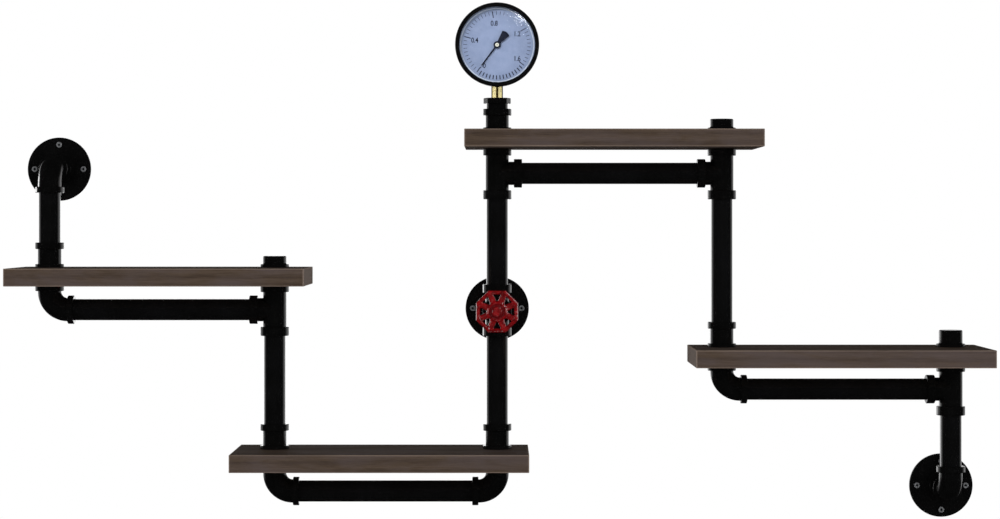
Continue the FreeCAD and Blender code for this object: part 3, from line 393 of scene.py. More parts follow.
def enamel(name, paint):
    material, tree = startMaterial(name)
    place = addNode(tree, "ShaderNodeTexCoord").outputs["Object"]
    ripple = addNode(tree, "ShaderNodeTexNoise", inputs={
        "Vector": place, "Scale": perMillimetre(paint["ripple"]), "Detail": 1.0, "Roughness": 0.4})
    tone = addNode(tree, "ShaderNodeValToRGB", inputs={"Fac": ripple.outputs["Fac"]}, stops=[
        (0.3, linearColour(paint["deep"])), (0.62, linearColour(paint["colour"]))])
    bump = addNode(tree, "ShaderNodeBump", inputs={
        "Height": ripple.outputs["Fac"], "Strength": paint["bump"], "Distance": paint["relief"]})
    shader = addNode(tree, "ShaderNodeBsdfPrincipled", inputs={
        "Base Color": tone.outputs["Color"], "Roughness": paint["roughness"],
        "Normal": bump.outputs["Normal"], "IOR": 1.5, "Coat Weight": paint["coat"],
        "Coat Roughness": paint["coatRoughness"]})
    # painted shade: the base colour darkens to a ring in the dish round the nut
    reach = distanceFrom(tree, middleOf("handwheel"), 1)
    offRing = addNode(tree, "ShaderNodeMath", {"operation": "SUBTRACT"}, {
        0: reach, 1: paint["dishShadeRadius"]})
    away = addNode(tree, "ShaderNodeMath", {"operation": "ABSOLUTE"}, {0: offRing.outputs[0]})
    endMaterial(material, shader)
    return shadeOver(material, away.outputs[0], 0.0, paint["dishShadeHalf"], paint["dishShade"])


wheelCasting = {
    "sectors": 8,
    "flats": 0.0523,
    "bore": 0.0041,
    "windowFoot": (0.0004, 0.0139),  # half width and reach of a window's two ends, less its rounding
    "windowHead": (0.0037, 0.0203),
    "windowRound": 0.0007,
    "cell": 0.0004,  # the grid's step
    "edgePasses": 5,  # how often its border points are drawn onto the edges
    "leastSlope": 0.5,  # keeps a point at a corner from being thrown far
    "sharpAngle": 50.0,  # degrees
    "rimHeight": 0.0043,  # heights from the middle of the wheel's thickness
    "webHeight": 0.0033,
    "hubHeight": 0.0053,
    "rimStart": 0.0210,  # the rim rises over these two, measured square to its flat
    "rimFull": 0.0226,
    "hubFull": 0.0106,  # and the hub falls over these two radii
    "hubEnd": 0.0140,
    "dishMiddle": 0.0085,
    "dishHalf": 0.0022,
    "dishDepth": 0.0004,
    "crown": 0.0029,  # how far in from an edge the surface rounds off
    "drop": 0.0021,  # and how far it falls there
    "lumps": 7,
    "lumpHeight": 0.00005,
    "lumpLengths": (0.0035, 0.008),
    "lumpSeed": 7,
}


def smoothStep(value, start, end):
    # 3 s^2 - 2 s^3, where s runs from 0 at the start to 1 at the end
    share = np.clip((value - start) / (end - start), 0, 1)
    return share * share * (3 - 2 * share)


def segmentDistance(x, z, start, end):
    # the share of the way along the segment that is nearest, kept between its ends, gives the distance
    alongX, alongZ = end[0] - start[0], end[1] - start[1]
    share = ((x - start[0]) * alongX + (z - start[1]) * alongZ) / (alongX ** 2 + alongZ ** 2)
    share = np.clip(share, 0, 1)
    return np.hypot(x - start[0] - share * alongX, z - start[1] - share * alongZ)


def wheelEdge(x, z, wheel):
    # folds the like sectors into half of one, with its side facing up, and takes the lesser of two
    # distances there: in from the rim's side, and out from the window's rounded outline
    reach = np.hypot(x, z)
    turn = np.arctan2(x, z)
    step = 2 * math.pi / wheel["sectors"]
    folded = np.abs(turn - step * np.round(turn / step))
    across, up = reach * np.sin(folded), reach * np.cos(folded)
    foot, head = wheel["windowFoot"], wheel["windowHead"]
    path = [(0.0, foot[1]), foot, head, (0.0, head[1])]
    gap = np.minimum.reduce([segmentDistance(across, up, path[i], path[i + 1]) for i in range(3)])
    slant = foot[0] + (up - foot[1]) * (head[0] - foot[0]) / (head[1] - foot[1])
    inside = (up > foot[1]) & (up < head[1]) & (across < slant)
    window = np.where(inside, -gap, gap) - wheel["windowRound"]
    return np.minimum(wheel["flats"] / 2 - up, window), up, reach


def wheelHeight(x, z, wheel, waves):
    # the crest steps up from the web to the rim and the hub, the hub is dished round its nut, and every
    # edge rounds off along a quarter of an ellipse; waves are the low lumps of a sand casting
    edge, up, reach = wheelEdge(x, z, wheel)
    height = wheel["webHeight"] + (wheel["rimHeight"] - wheel["webHeight"]) * smoothStep(
        up, wheel["rimStart"], wheel["rimFull"])
    hubShare = smoothStep(reach, wheel["hubEnd"], wheel["hubFull"])
    height = height + (wheel["hubHeight"] - height) * hubShare
    dish = np.clip(1 - np.abs(reach - wheel["dishMiddle"]) / wheel["dishHalf"], 0, 1)
    height = height - wheel["dishDepth"] * dish * dish * (3 - 2 * dish)
    fall = np.clip(1 - edge / wheel["crown"], 0, 1)
    height = height - wheel["drop"] * (1 - np.sqrt(1 - fall * fall))
    for turn, length, phase in waves:
        height = height + wheel["lumpHeight"] * np.sin(
            2 * math.pi * (x * math.cos(turn) + z * math.sin(turn)) / length + phase)
    return height


def makeWheel(wheel, material):
    # a fine grid over the wheel's outline, its border cells drawn onto the edges, raised to the wheel's
    # height in front and behind and closed by walls
    centre = np.array(middleOf("handwheel"))

    def solid(x, z):
        return np.minimum(wheelEdge(x, z, wheel)[0], np.hypot(x, z) - wheel["bore"])

    count = int(math.ceil(wheel["flats"] / wheel["cell"])) + 2
    steps = (np.arange(count + 1) - count / 2) * wheel["cell"]
    gridX, gridZ = np.meshgrid(steps, steps, indexing="ij")
    kept = solid(gridX[:-1, :-1] + wheel["cell"] / 2, gridZ[:-1, :-1] + wheel["cell"] / 2) > 0
    number = np.arange(gridX.size).reshape(gridX.shape)
    quads = np.stack([number[:-1, :-1][kept], number[1:, :-1][kept],
                      number[1:, 1:][kept], number[:-1, 1:][kept]], axis=1)
    used, quads = np.unique(quads, return_inverse=True)
    quads = quads.reshape(-1, 4)
    x, z = gridX.ravel()[used], gridZ.ravel()[used]

    edges = np.concatenate([quads[:, [0, 1]], quads[:, [1, 2]], quads[:, [2, 3]], quads[:, [3, 0]]])
    firsts, counts = np.unique(np.sort(edges, axis=1), axis=0, return_index=True, return_counts=True)[1:]
    border = edges[firsts[counts == 1]]
    rim = np.unique(border)
    tiny = wheel["cell"] / 40
    for edgePass in range(wheel["edgePasses"]):
        gap = solid(x[rim], z[rim])
        slopeX = (solid(x[rim] + tiny, z[rim]) - solid(x[rim] - tiny, z[rim])) / (2 * tiny)
        slopeZ = (solid(x[rim], z[rim] + tiny) - solid(x[rim], z[rim] - tiny)) / (2 * tiny)
        steep = np.maximum(slopeX ** 2 + slopeZ ** 2, wheel["leastSlope"])
        x[rim] -= gap * slopeX / steep
        z[rim] -= gap * slopeZ / steep

    random = np.random.default_rng(wheel["lumpSeed"])
    waves = [(random.uniform(0, 2 * math.pi), random.uniform(*wheel["lumpLengths"]),
              random.uniform(0, 2 * math.pi)) for lump in range(wheel["lumps"])]
    front = np.stack([x, -wheelHeight(x, z, wheel, waves), z], axis=1) + centre
    back = np.stack([x, wheelHeight(x, z, wheel, []), z], axis=1) + centre
    total = len(front)
    walls = np.stack([border[:, 1], border[:, 0], border[:, 0] + total, border[:, 1] + total], axis=1)
    faces = np.concatenate([quads, quads[:, ::-1] + total, walls])
    piece = addMesh("cast_handwheel", np.concatenate([front, back]), faces, material, "handwheel")
    piece.data.polygons.foreach_set("use_smooth", np.ones(len(faces), dtype=bool))
    piece.data.set_sharp_from_angle(angle=math.radians(wheel["sharpAngle"]))
    return piece


redEnamel = enamel("red_stoved_enamel", wheelEnamel)
wear("handwheel", "wheel_nut", material=redEnamel)
castWheel = makeWheel(wheelCasting, redEnamel)
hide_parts("handwheel")
print("handwheel enamelled:", len(castWheel.data.polygons), "faces")


# metals: zinc-plated screws, machined brass and bright turned steel
toolMarks = {
    "smoother": 0.06,  # how far the marks take the roughness down and up
    "rougher": 0.08,
    "relief": 0.0003,
}


def metal(name, finish):
    material, tree = startMaterial(name)
    place = addNode(tree, "ShaderNodeTexCoord").outputs["Object"]
    stretched = addNode(tree, "ShaderNodeMapping", inputs={"Vector": place, "Scale": finish["stretch"]})
    marks = addNode(tree, "ShaderNodeTexNoise", inputs={
        "Vector": stretched.outputs["Vector"], "Scale": perMillimetre(finish["mark"]),
        "Detail": 4.0, "Roughness": 0.6})
    tone = addNode(tree, "ShaderNodeValToRGB", inputs={"Fac": marks.outputs["Fac"]}, stops=[
        (0.3, linearColour(finish["shade"])), (0.7, linearColour(finish["colour"]))])
    rough = addNode(tree, "ShaderNodeMapRange", inputs={
        "Value": marks.outputs["Fac"],
        "To Min": finish["roughness"] - toolMarks["smoother"],
        "To Max": finish["roughness"] + toolMarks["rougher"]})
    bump = addNode(tree, "ShaderNodeBump", inputs={
        "Height": marks.outputs["Fac"], "Strength": finish["bump"], "Distance": toolMarks["relief"]})
    shader = addNode(tree, "ShaderNodeBsdfPrincipled", inputs={
        "Base Color": tone.outputs["Color"], "Roughness": rough.outputs["Result"],
        "Normal": bump.outputs["Normal"], "Metallic": finish["metallic"]})
    return endMaterial(material, shader)


screwZinc = {
    "colour": "#c4c6c8",
    "shade": "#8e9093",
    "metallic": 0.75,
    "roughness": 0.42,
    "mark": 1.2,
    "stretch": (1.0, 1.0, 1.0),
    "bump": 0.25,
}
screwHeads = {
    "circle": 0.0315,  # radius of the flange's screw circle
    "recess": 0.0011,  # painted shade in the recess: wholly dark within this radius, and bright from the rim's
    "rim": 0.0021,
    "shadow": "#26272a",
}


def screwMaterial(name, finish):
    # zinc with a painted shade in the driven recess: the four heads of a flange's circle are folded
    # into one, and the nearest of the three flanges counts
    material = metal(name, finish)
    tree = material.node_tree
    nearest = None
    for flangeName in ("left_flange", "middle_flange", "right_flange"):
        folded = addNode(tree, "ShaderNodeVectorMath", {"operation": "ABSOLUTE"}, {
            0: centredOn(tree, middleOf(flangeName), 1)})
        sides = addNode(tree, "ShaderNodeSeparateXYZ", inputs={"Vector": folded.outputs["Vector"]})
        far, beside = [addNode(tree, "ShaderNodeMath", {"operation": operation}, {
            0: sides.outputs["X"], 1: sides.outputs["Z"]}).outputs[0]
            for operation in ("MAXIMUM", "MINIMUM")]
        along = addNode(tree, "ShaderNodeMath", {"operation": "SUBTRACT"}, {
            0: far, 1: screwHeads["circle"]})
        flat = addNode(tree, "ShaderNodeCombineXYZ", inputs={"X": along.outputs[0], "Y": beside})
        reach = addNode(tree, "ShaderNodeVectorMath", {"operation": "LENGTH"}, {
            0: flat.outputs["Vector"]}).outputs["Value"]
        if nearest is None:
            nearest = reach
        else:
            nearest = addNode(tree, "ShaderNodeMath", {"operation": "MINIMUM"}, {
                0: nearest, 1: reach}).outputs[0]
    return shadeOver(material, nearest, screwHeads["recess"], screwHeads["rim"], screwHeads["shadow"])


stemCornerShade = {
    "bright": 0.0076,  # radius up to which the brass is bright, and from which the painted shade is whole
    "dark": 0.00785,
    "shadow": "#4a3d14",
}


def stemMaterial(name, finish):
    # brass with a painted shade along the hexagon's corners, where rounded-off corners would mirror less
    # light
    material = metal(name, finish)
    reach = distanceFrom(material.node_tree, middleOf("gauge_stem"), 2)
    return shadeOver(material, reach, stemCornerShade["dark"], stemCornerShade["bright"], stemCornerShade["shadow"])


stemBrass = {
    "colour": "#e1d7a4",
    "shade": "#c9b97c",
    "metallic": 1.0,
    "roughness": 0.12,
    "mark": 1.0,
    "stretch": (1.0, 1.0, 0.25),
    "bump": 0.12,
}
turnedSteel = {
    "colour": "#b9babb",
    "shade": "#8a8b8d",
    "metallic": 1.0,
    "roughness": 0.3,
    "mark": 0.8,
    "stretch": (1.0, 0.2, 1.0),
    "bump": 0.15,
}
brass = metal("machined_brass", stemBrass)
wear("wall_screws", material=screwMaterial("zinc_plated_steel", screwZinc))
wear("gauge_stem", material=stemMaterial("machined_brass_stem", stemBrass))
wear("bourdon_tube", "tube_tip", "movement_back_plate", "movement_front_plate", "sector_gear",
     "gauge_link", material=brass)
wear("valve_spindle", "gland_nut", "pinion_arbor", material=metal("turned_steel", turnedSteel))
print("metals on")


# gauge: satin black lacquered steel case and bezel, printed dial, black pointer, flat window glass
gaugeLacquer = {
    "colour": "#070708",
    "dusty": "#0b0b0c",
    "roughness": 0.35,
    "roughnessSpread": 0.05,
    "peel": 2.0,
    "cloud": 20.0,
    "bump": 0.06,
}
wear("gauge_case", "gauge_bezel", material=powderCoat("satin_black_lacquer", gaugeLacquer))

dialPrint = {
    "paint": "#8891a9",
    "shade": "#7f89a1",
    "mottle": 9.0,  # mm
    "roughness": 0.5,
    "ink": "#1c2030",
    "inkShade": "#151826",
    "inkMottle": 2.0,  # mm
    "inkRoughness": 0.55,
    "inkHeight": 0.00005,
    "fineInner": 0.0382,
    "fineOuter": 0.0428,
    "longInner": 0.0345,
    "fineWidth": 0.0006,
    "longWidth": 0.0011,
    "zeroAngle": 143.0,  # degrees anticlockwise from straight up
    "sweep": 270.0,
    "divisions": 40,
    "perNumber": 10,
    "footMarks": 14,  # bolder marks across the foot, between the scale's end and its start
    "footWidth": 0.0013,
    "footOuter": 0.0436,
    # a pale ring painted round the dial's edge: a painted reflection of the bezel's inner wall
    "border": "#c3c8d2",
    "ringHighlightShade": "#b3b8c4",
    "ringHighlightMottle": 3.0,  # mm
    "ringHighlightRoughness": 0.5,
    "ringHighlightInner": 0.0456,
    "ringHighlightOuter": 0.0469,
    "ringHighlightSteps": 144,
}


def flatPaint(name, colour, shade, mottle, roughness):
    material, tree = startMaterial(name)
    place = addNode(tree, "ShaderNodeTexCoord").outputs["Object"]
    cloud = addNode(tree, "ShaderNodeTexNoise", inputs={
        "Vector": place, "Scale": perMillimetre(mottle), "Detail": 4.0, "Roughness": 0.6})
    tone = addNode(tree, "ShaderNodeValToRGB", inputs={"Fac": cloud.outputs["Fac"]}, stops=[
        (0.35, linearColour(shade)), (0.65, linearColour(colour))])
    shader = addNode(tree, "ShaderNodeBsdfPrincipled", inputs={
        "Base Color": tone.outputs["Color"], "Roughness": roughness, "IOR": 1.45})
    return endMaterial(material, shader)


wear("gauge_dial", material=flatPaint(
    "printed_dial_paint", dialPrint["paint"], dialPrint["shade"],
    dialPrint["mottle"], dialPrint["roughness"]))
inkPaint = flatPaint(
    "dial_ink", dialPrint["ink"], dialPrint["inkShade"],
    dialPrint["inkMottle"], dialPrint["inkRoughness"])
ringHighlightPaint = flatPaint(
    "painted_dial_highlight_ring", dialPrint["border"], dialPrint["ringHighlightShade"],
    dialPrint["ringHighlightMottle"], dialPrint["ringHighlightRoughness"])

dialLow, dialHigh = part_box("gauge_dial")
gaugeCentre = np.array([(dialLow[0] + dialHigh[0]) / 2, dialLow[1], (dialLow[2] + dialHigh[2]) / 2])


def dialMarks(inner, outer, width, turns, height):
    # each mark is a thin block: along its radius from inner to outer, half its width to each side,
    # and from the dial's face to the ink's height; turns are clockwise from straight up
    radial = np.stack([np.sin(turns), np.zeros_like(turns), np.cos(turns)], axis=1)
    across = np.stack([np.cos(turns), np.zeros_like(turns), -np.sin(turns)], axis=1)
    corners = []
    for depth in (0.0, -height):
        for reach, side in ((inner, -1), (inner, 1), (outer, 1), (outer, -1)):
            corners.append(radial * reach + across * (side * width / 2) + (0.0, depth, 0.0))
    points = np.stack(corners, axis=1).reshape(-1, 3) + gaugeCentre
    block = np.array([
        [0, 1, 2, 3], [7, 6, 5, 4], [4, 5, 1, 0], [5, 6, 2, 1], [6, 7, 3, 2], [7, 4, 0, 3]])
    faces = (block[None, :, :] + 8 * np.arange(len(turns))[:, None, None]).reshape(-1, 4)
    return points, faces


def makeScale(printing, material):
    # marks evenly over the sweep, every tenth bold, then the foot's marks over the gap that it leaves
    steps = np.arange(printing["divisions"] + 1)
    turns = np.radians(-printing["zeroAngle"] + printing["sweep"] * steps / printing["divisions"])
    isLong = steps % printing["perNumber"] == 0
    fine = dialMarks(printing["fineInner"], printing["fineOuter"], printing["fineWidth"],
                     turns[~isLong], printing["inkHeight"])
    bold = dialMarks(printing["longInner"], printing["fineOuter"], printing["longWidth"],
                     turns[isLong], printing["inkHeight"])
    gap = 360.0 - printing["sweep"]
    footSteps = np.arange(1, printing["footMarks"] + 1) / (printing["footMarks"] + 1)
    footTurns = np.radians(printing["sweep"] - printing["zeroAngle"] + gap * footSteps)
    foot = dialMarks(printing["fineInner"], printing["footOuter"], printing["footWidth"],
                     footTurns, printing["inkHeight"])
    return addMesh("dial_scale", *joined([fine, bold, foot]), material)


def makeHighlightRing(printing, material):
    # a flat ring of painted reflection: a square profile of the ink's height carried once round the
    # dial's centre
    around = np.linspace(0, 2 * np.pi, printing["ringHighlightSteps"], endpoint=False)
    height = printing["inkHeight"]
    inner, outer = printing["ringHighlightInner"], printing["ringHighlightOuter"]
    profile = np.array([[inner, 0.0], [outer, 0.0], [outer, -height], [inner, -height]])
    points = np.stack([
        np.outer(np.sin(around), profile[:, 0]),
        np.broadcast_to(profile[:, 1], (len(around), 4)),
        np.outer(np.cos(around), profile[:, 0])], axis=2).reshape(-1, 3) + gaugeCentre
    corner = np.arange(4)
    here = (np.arange(len(around))[:, None] * 4 + corner).ravel()
    ahead = (np.arange(len(around))[:, None] * 4 + (corner + 1) % 4).ravel()
    total = len(points)
    faces = np.stack([here, ahead, (ahead + 4) % total, (here + 4) % total], axis=1)
    return addMesh("dial_highlight_ring", points, faces, material)


makeScale(dialPrint, inkPaint)
makeHighlightRing(dialPrint, ringHighlightPaint)

dialNumbers = {
    "size": 0.0074,
    "tall": 1.2,  # a condensed face: its figures are this much taller than the font's
    "weight": 0.00014,  # how much the strokes are fattened
    "texts": (
        ("0", -0.0163, -0.0262),
        ("0.4", -0.0283, 0.0058),
        ("0.8", -0.0037, 0.0272),
        ("1.2", 0.0252, 0.0138),
        ("1.6", 0.0252, -0.0174),
    ),
}


def makeNumbers(numbers, height, material):
    # each number is the font's own outline as a thin block, stood up and moved to its place on the dial
    blocks = []
    for text, x, z in numbers["texts"]:
        curve = bpy.data.curves.new("number", "FONT")
        curve.body = text
        curve.size = numbers["size"]
        curve.align_x = "CENTER"
        curve.align_y = "CENTER"
        curve.offset = numbers["weight"]
        curve.extrude = height / 2
        holder = bpy.data.objects.new("number", curve)
        bpy.context.scene.collection.objects.link(holder)
        bpy.context.view_layer.update()
        graph = bpy.context.evaluated_depsgraph_get()
        mesh = bpy.data.meshes.new_from_object(holder.evaluated_get(graph))
        flat = np.empty(len(mesh.vertices) * 3)
        mesh.vertices.foreach_get("co", flat)
        flat = flat.reshape(-1, 3)
        stood = np.stack([
            flat[:, 0] + x, -flat[:, 2] - height / 2, flat[:, 1] * numbers["tall"] + z], axis=1)
        blocks.append((stood + gaugeCentre, [polygon.vertices for polygon in mesh.polygons]))
        bpy.data.objects.remove(holder)
    return addMesh("dial_numbers", *joined(blocks), material)


makeNumbers(dialNumbers, dialPrint["inkHeight"], inkPaint)


# black painted pointer: a broad blade, a fan-shaped tail and a hub under a bright turned cap
pointerPaint = {
    "colour": "#1f212e",
    "shade": "#161822",
    "cap": "#cfc9b4",
    "capRadius": 0.0024,
    "dotRadius": 0.0007,  # the arbor's dark end in the middle of the cap
    "mottle": 1.5,  # mm
    "roughness": 0.4,
}
pointerShape = {
    "length": 0.0340,
    "point": 0.0022,
    "baseHalf": 0.0012,
    "tipHalf": 0.0007,
    "tailCorner": (0.0182, 0.0054),
    "tailReach": 0.0200,
    "tailSteps": 13,
    "neckHalf": 0.0014,
    "thickness": 0.0006,
    "hubRadius": 0.0046,
    "hub": 0.0020,
    "capRadius": 0.0029,
    "sides": 48,
    "edge": 0.0003,
}


def stackedMesh(rows):
    # rows of as many points each, walled from row to row and closed by a flat at each end
    count = rows.shape[1]
    here = np.arange(count)
    ahead = (here + 1) % count
    walls = [np.stack([start + here, start + ahead, start + count + ahead, start + count + here], axis=1)
             for start in range(0, (len(rows) - 1) * count, count)]
    ends = [here[::-1].tolist(), (here + (len(rows) - 1) * count).tolist()]
    return rows.reshape(-1, 3), ends + np.concatenate(walls).tolist()


def makePointer(shape, material):
    # blade and tail are flat outlines given a thickness, and the hub is a (radius, y) profile turned
    # round the y axis
    low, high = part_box("gauge_pointer")
    back, front = high[1], low[1]
    hubFront = back - shape["hub"]
    bladeMiddle = (back + hubFront) / 2
    half = shape["thickness"] / 2
    neck = shape["length"] - shape["point"]
    blade = np.array([
        (0.0, shape["baseHalf"]), (neck, shape["tipHalf"]), (shape["length"], 0.0),
        (neck, -shape["tipHalf"]), (0.0, -shape["baseHalf"])])
    cornerX, cornerZ = shape["tailCorner"]
    share = np.linspace(-1, 1, shape["tailSteps"])
    arc = np.stack([
        -cornerX - (shape["tailReach"] - cornerX) * (1 - share * share), cornerZ * share], axis=1)
    tail = np.concatenate([[(0.0, -shape["neckHalf"])], arc, [(0.0, shape["neckHalf"])]])
    turn = math.radians(90 + dialPrint["zeroAngle"])
    blocks = []
    for outline in (blade, tail):
        x = outline[:, 0] * math.cos(turn) - outline[:, 1] * math.sin(turn)
        z = outline[:, 0] * math.sin(turn) + outline[:, 1] * math.cos(turn)
        blocks.append(stackedMesh(np.stack([
            np.stack([x, np.full_like(x, y), z], axis=1)
            for y in (bladeMiddle - half, bladeMiddle + half)])))
    edge = shape["edge"]
    hub = np.array([
        (shape["hubRadius"], back), (shape["hubRadius"], hubFront + edge),
        (shape["hubRadius"] - edge, hubFront), (shape["capRadius"], hubFront),
        (shape["capRadius"], front + edge), (shape["capRadius"] - edge, front)])
    around = 2 * math.pi * np.arange(shape["sides"]) / shape["sides"]
    radius, y = hub[:, :1], hub[:, 1:]
    blocks.append(stackedMesh(np.stack([
        radius * np.cos(around), y + 0 * around, radius * np.sin(around)], axis=2)))
    points, faces = joined(blocks)
    points += (gaugeCentre[0], 0.0, gaugeCentre[2])
    return addMesh("dial_pointer", points, faces, material, "pointer")


def pointerMaterial(name, paint, centre):
    # black with a bright ring for the cap's face
    material, tree = startMaterial(name)
    place = addNode(tree, "ShaderNodeTexCoord").outputs["Object"]
    reach = distanceFrom(tree, centre, 1)
    insideCap = addNode(tree, "ShaderNodeMath", {"operation": "LESS_THAN"}, {
        0: reach, 1: paint["capRadius"]})
    outsideDot = addNode(tree, "ShaderNodeMath", {"operation": "GREATER_THAN"}, {
        0: reach, 1: paint["dotRadius"]})
    isCap = addNode(tree, "ShaderNodeMath", {"operation": "MULTIPLY"}, {
        0: insideCap.outputs[0], 1: outsideDot.outputs[0]})
    grain = addNode(tree, "ShaderNodeTexNoise", inputs={
        "Vector": place, "Scale": perMillimetre(paint["mottle"])})
    tone = addNode(tree, "ShaderNodeValToRGB", inputs={"Fac": grain.outputs["Fac"]}, stops=[
        (0.3, linearColour(paint["shade"])), (0.7, linearColour(paint["colour"]))])
    colour = addNode(tree, "ShaderNodeMix", {"data_type": "RGBA"}, {
        0: isCap.outputs[0], 6: tone.outputs["Color"], 7: linearColour(paint["cap"])})
    shader = addNode(tree, "ShaderNodeBsdfPrincipled", inputs={
        "Base Color": colour.outputs[2], "Roughness": paint["roughness"]})
    return endMaterial(material, shader)


pointerBlack = pointerMaterial("black_pointer_paint", pointerPaint, gaugeCentre)
wear("gauge_pointer", material=pointerBlack)
dialPointer = makePointer(pointerShape, pointerBlack)
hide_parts("gauge_pointer")


# clear soda-lime window glass, float-flat on both faces: the dial shows straight through it, and it
# mirrors more and more towards a grazing view
windowGlass = {
    "tint": "#fbfdff",
    "roughness": 0.05,
    "facing": 0.04,  # share of light mirrored straight on
    "power": 5.0,  # how late towards grazing the mirroring rises
}


def glassMaterial(name, glass):
    material, tree = startMaterial(name)
    edge = addNode(tree, "ShaderNodeLayerWeight", inputs={"Blend": 0.5}).outputs["Facing"]
    rise = addNode(tree, "ShaderNodeMath", {"operation": "POWER"}, {0: edge, 1: glass["power"]})
    share = addNode(tree, "ShaderNodeMapRange", inputs={
        "Value": rise.outputs[0], "To Min": glass["facing"]})
    clear = addNode(tree, "ShaderNodeBsdfTransparent", inputs={"Color": linearColour(glass["tint"])})
    mirror = addNode(tree, "ShaderNodeBsdfGlossy", inputs={"Roughness": glass["roughness"]})
    return endMaterial(material, addNode(tree, "ShaderNodeMixShader", inputs={
        0: share.outputs["Result"], 1: clear.outputs[0], 2: mirror.outputs[0]}))


wear("gauge_glass", material=glassMaterial("clear_window_glass", windowGlass))
print("gauge dressed")


# studio: white surroundings behind, a dim room in front, broad lamps, and two rim lamps behind whose
# reflections run down the pipes' sides
studio = {
    "front": 0.008,  # what gloss sees of the room before the object
    "behind": 0.7,  # and of the white surroundings behind it
    "ambientFront": 0.5,  # light that falls from the room, before and behind
    "ambientBack": 0.12,
    "brinkDark": 0.22,  # the white fades out to the sides over these, as the cosine from straight back
    "brinkWhite": 0.42,
    "bandFull": 0.12,  # and upwards and downwards over these, as the sine of the angle from level
    "bandEnd": 0.3,
    "aim": (0.0, -0.07, 0.06),  # what the broad lamps and the rim lamps face
    "lamps": {
        "left_softbox": {"place": (-4.4, -1.9, 0.4), "size": (2.4, 2.4), "power": 120},
        "right_softbox": {"place": (4.4, -1.9, 0.4), "size": (2.4, 2.4), "power": 120},
        "front_softbox": {"place": (0.4, -5.0, 0.9), "size": (3.0, 3.0), "power": 110},
    },
    "rims": {
        "left_rim": {"place": (-0.5, 1.5, 0.035), "size": (1.1, 1.0), "power": 5.5},
        "right_rim": {"place": (0.9, 1.5, 0.035), "size": (0.8, 1.0), "power": 0.8},
    },
    # small lamps that light only the pieces named: the dial's key light, the pane's glint, the brass
    # stem's two front faces, and the left edges of the wall elbow and of the cross
    "accents": {
        "dial_key": {"place": (-0.55, -2.0, 0.95), "size": (0.25, 0.25), "power": 32.0,
                     "aim": (0.0, -0.085, 0.335), "mirrored": False,
                     "only": ("gauge_dial", "dial_scale", "dial_numbers", "dial_highlight_ring",
                              "dial_pointer")},
        "glass_glint": {"place": (0.0495, -2.0, 0.528), "size": (0.0215, 0.0085), "power": 0.014,
                        "aim": (0.030, -0.0925, 0.367), "mirrored": True, "roll": -47.0,
                        "only": ("gauge_glass",)},
        "left_strip": {"place": (-1.73, -1.08, 0.345), "size": (0.34, 0.085), "power": 0.25,
                       "aim": (0.0, -0.08, 0.275), "mirrored": True, "only": ("gauge_stem",)},
        "right_strip": {"place": (1.73, -1.08, 0.345), "size": (0.34, 0.085), "power": 0.21,
                        "aim": (0.0, -0.08, 0.275), "mirrored": True, "only": ("gauge_stem",)},
        "elbow_edge": {"place": (-1.95, 1.1, 0.19), "size": (0.6, 0.6), "power": 8.0,
                       "aim": (-0.57, -0.05, 0.19), "mirrored": True, "only": ("left_wall_elbow",)},
        "cross_edge": {"place": (-0.88, 1.43, 0.0), "size": (0.5, 0.8), "power": 2.5,
                       "aim": (0.0, -0.07, 0.0), "mirrored": True, "only": ("cross_fitting",)},
    },
    # round the wheel: three lamps abreast of it for its thin bright outer edges, then others before it
    # for the rounded spokes
    "wheelLamps": {
        "wheel_left": {"place": (-2.0, -0.13, -0.07), "power": 7.0},
        "wheel_right": {"place": (2.0, -0.13, -0.07), "power": 6.0},
        "wheel_top": {"place": (1.3, -0.60, 1.4), "power": 8.0},
        "spokes_left": {"place": (-1.9, -1.5, 0.35), "power": 5.0},
        "spokes_right": {"place": (1.9, -1.4, 0.25), "power": 5.0},
        "spokes_low": {"place": (0.3, -1.6, -1.9), "power": 4.0},
    },
    "wheelLampSize": (0.45, 0.45),
    "wheelAim": (0.0, -0.13, 0.0),
    "wheelLit": ("cast_handwheel", "wheel_nut"),
    "floorHeight": -0.62,
    "floorWidth": 12.0,
    "floorFront": -5.5,
    "floorBack": 2.4,
    "floorColour": "#e2e2e2",
    "floorGlow": 0.55,  # lifts it towards the white background, and keeps its shadow
}


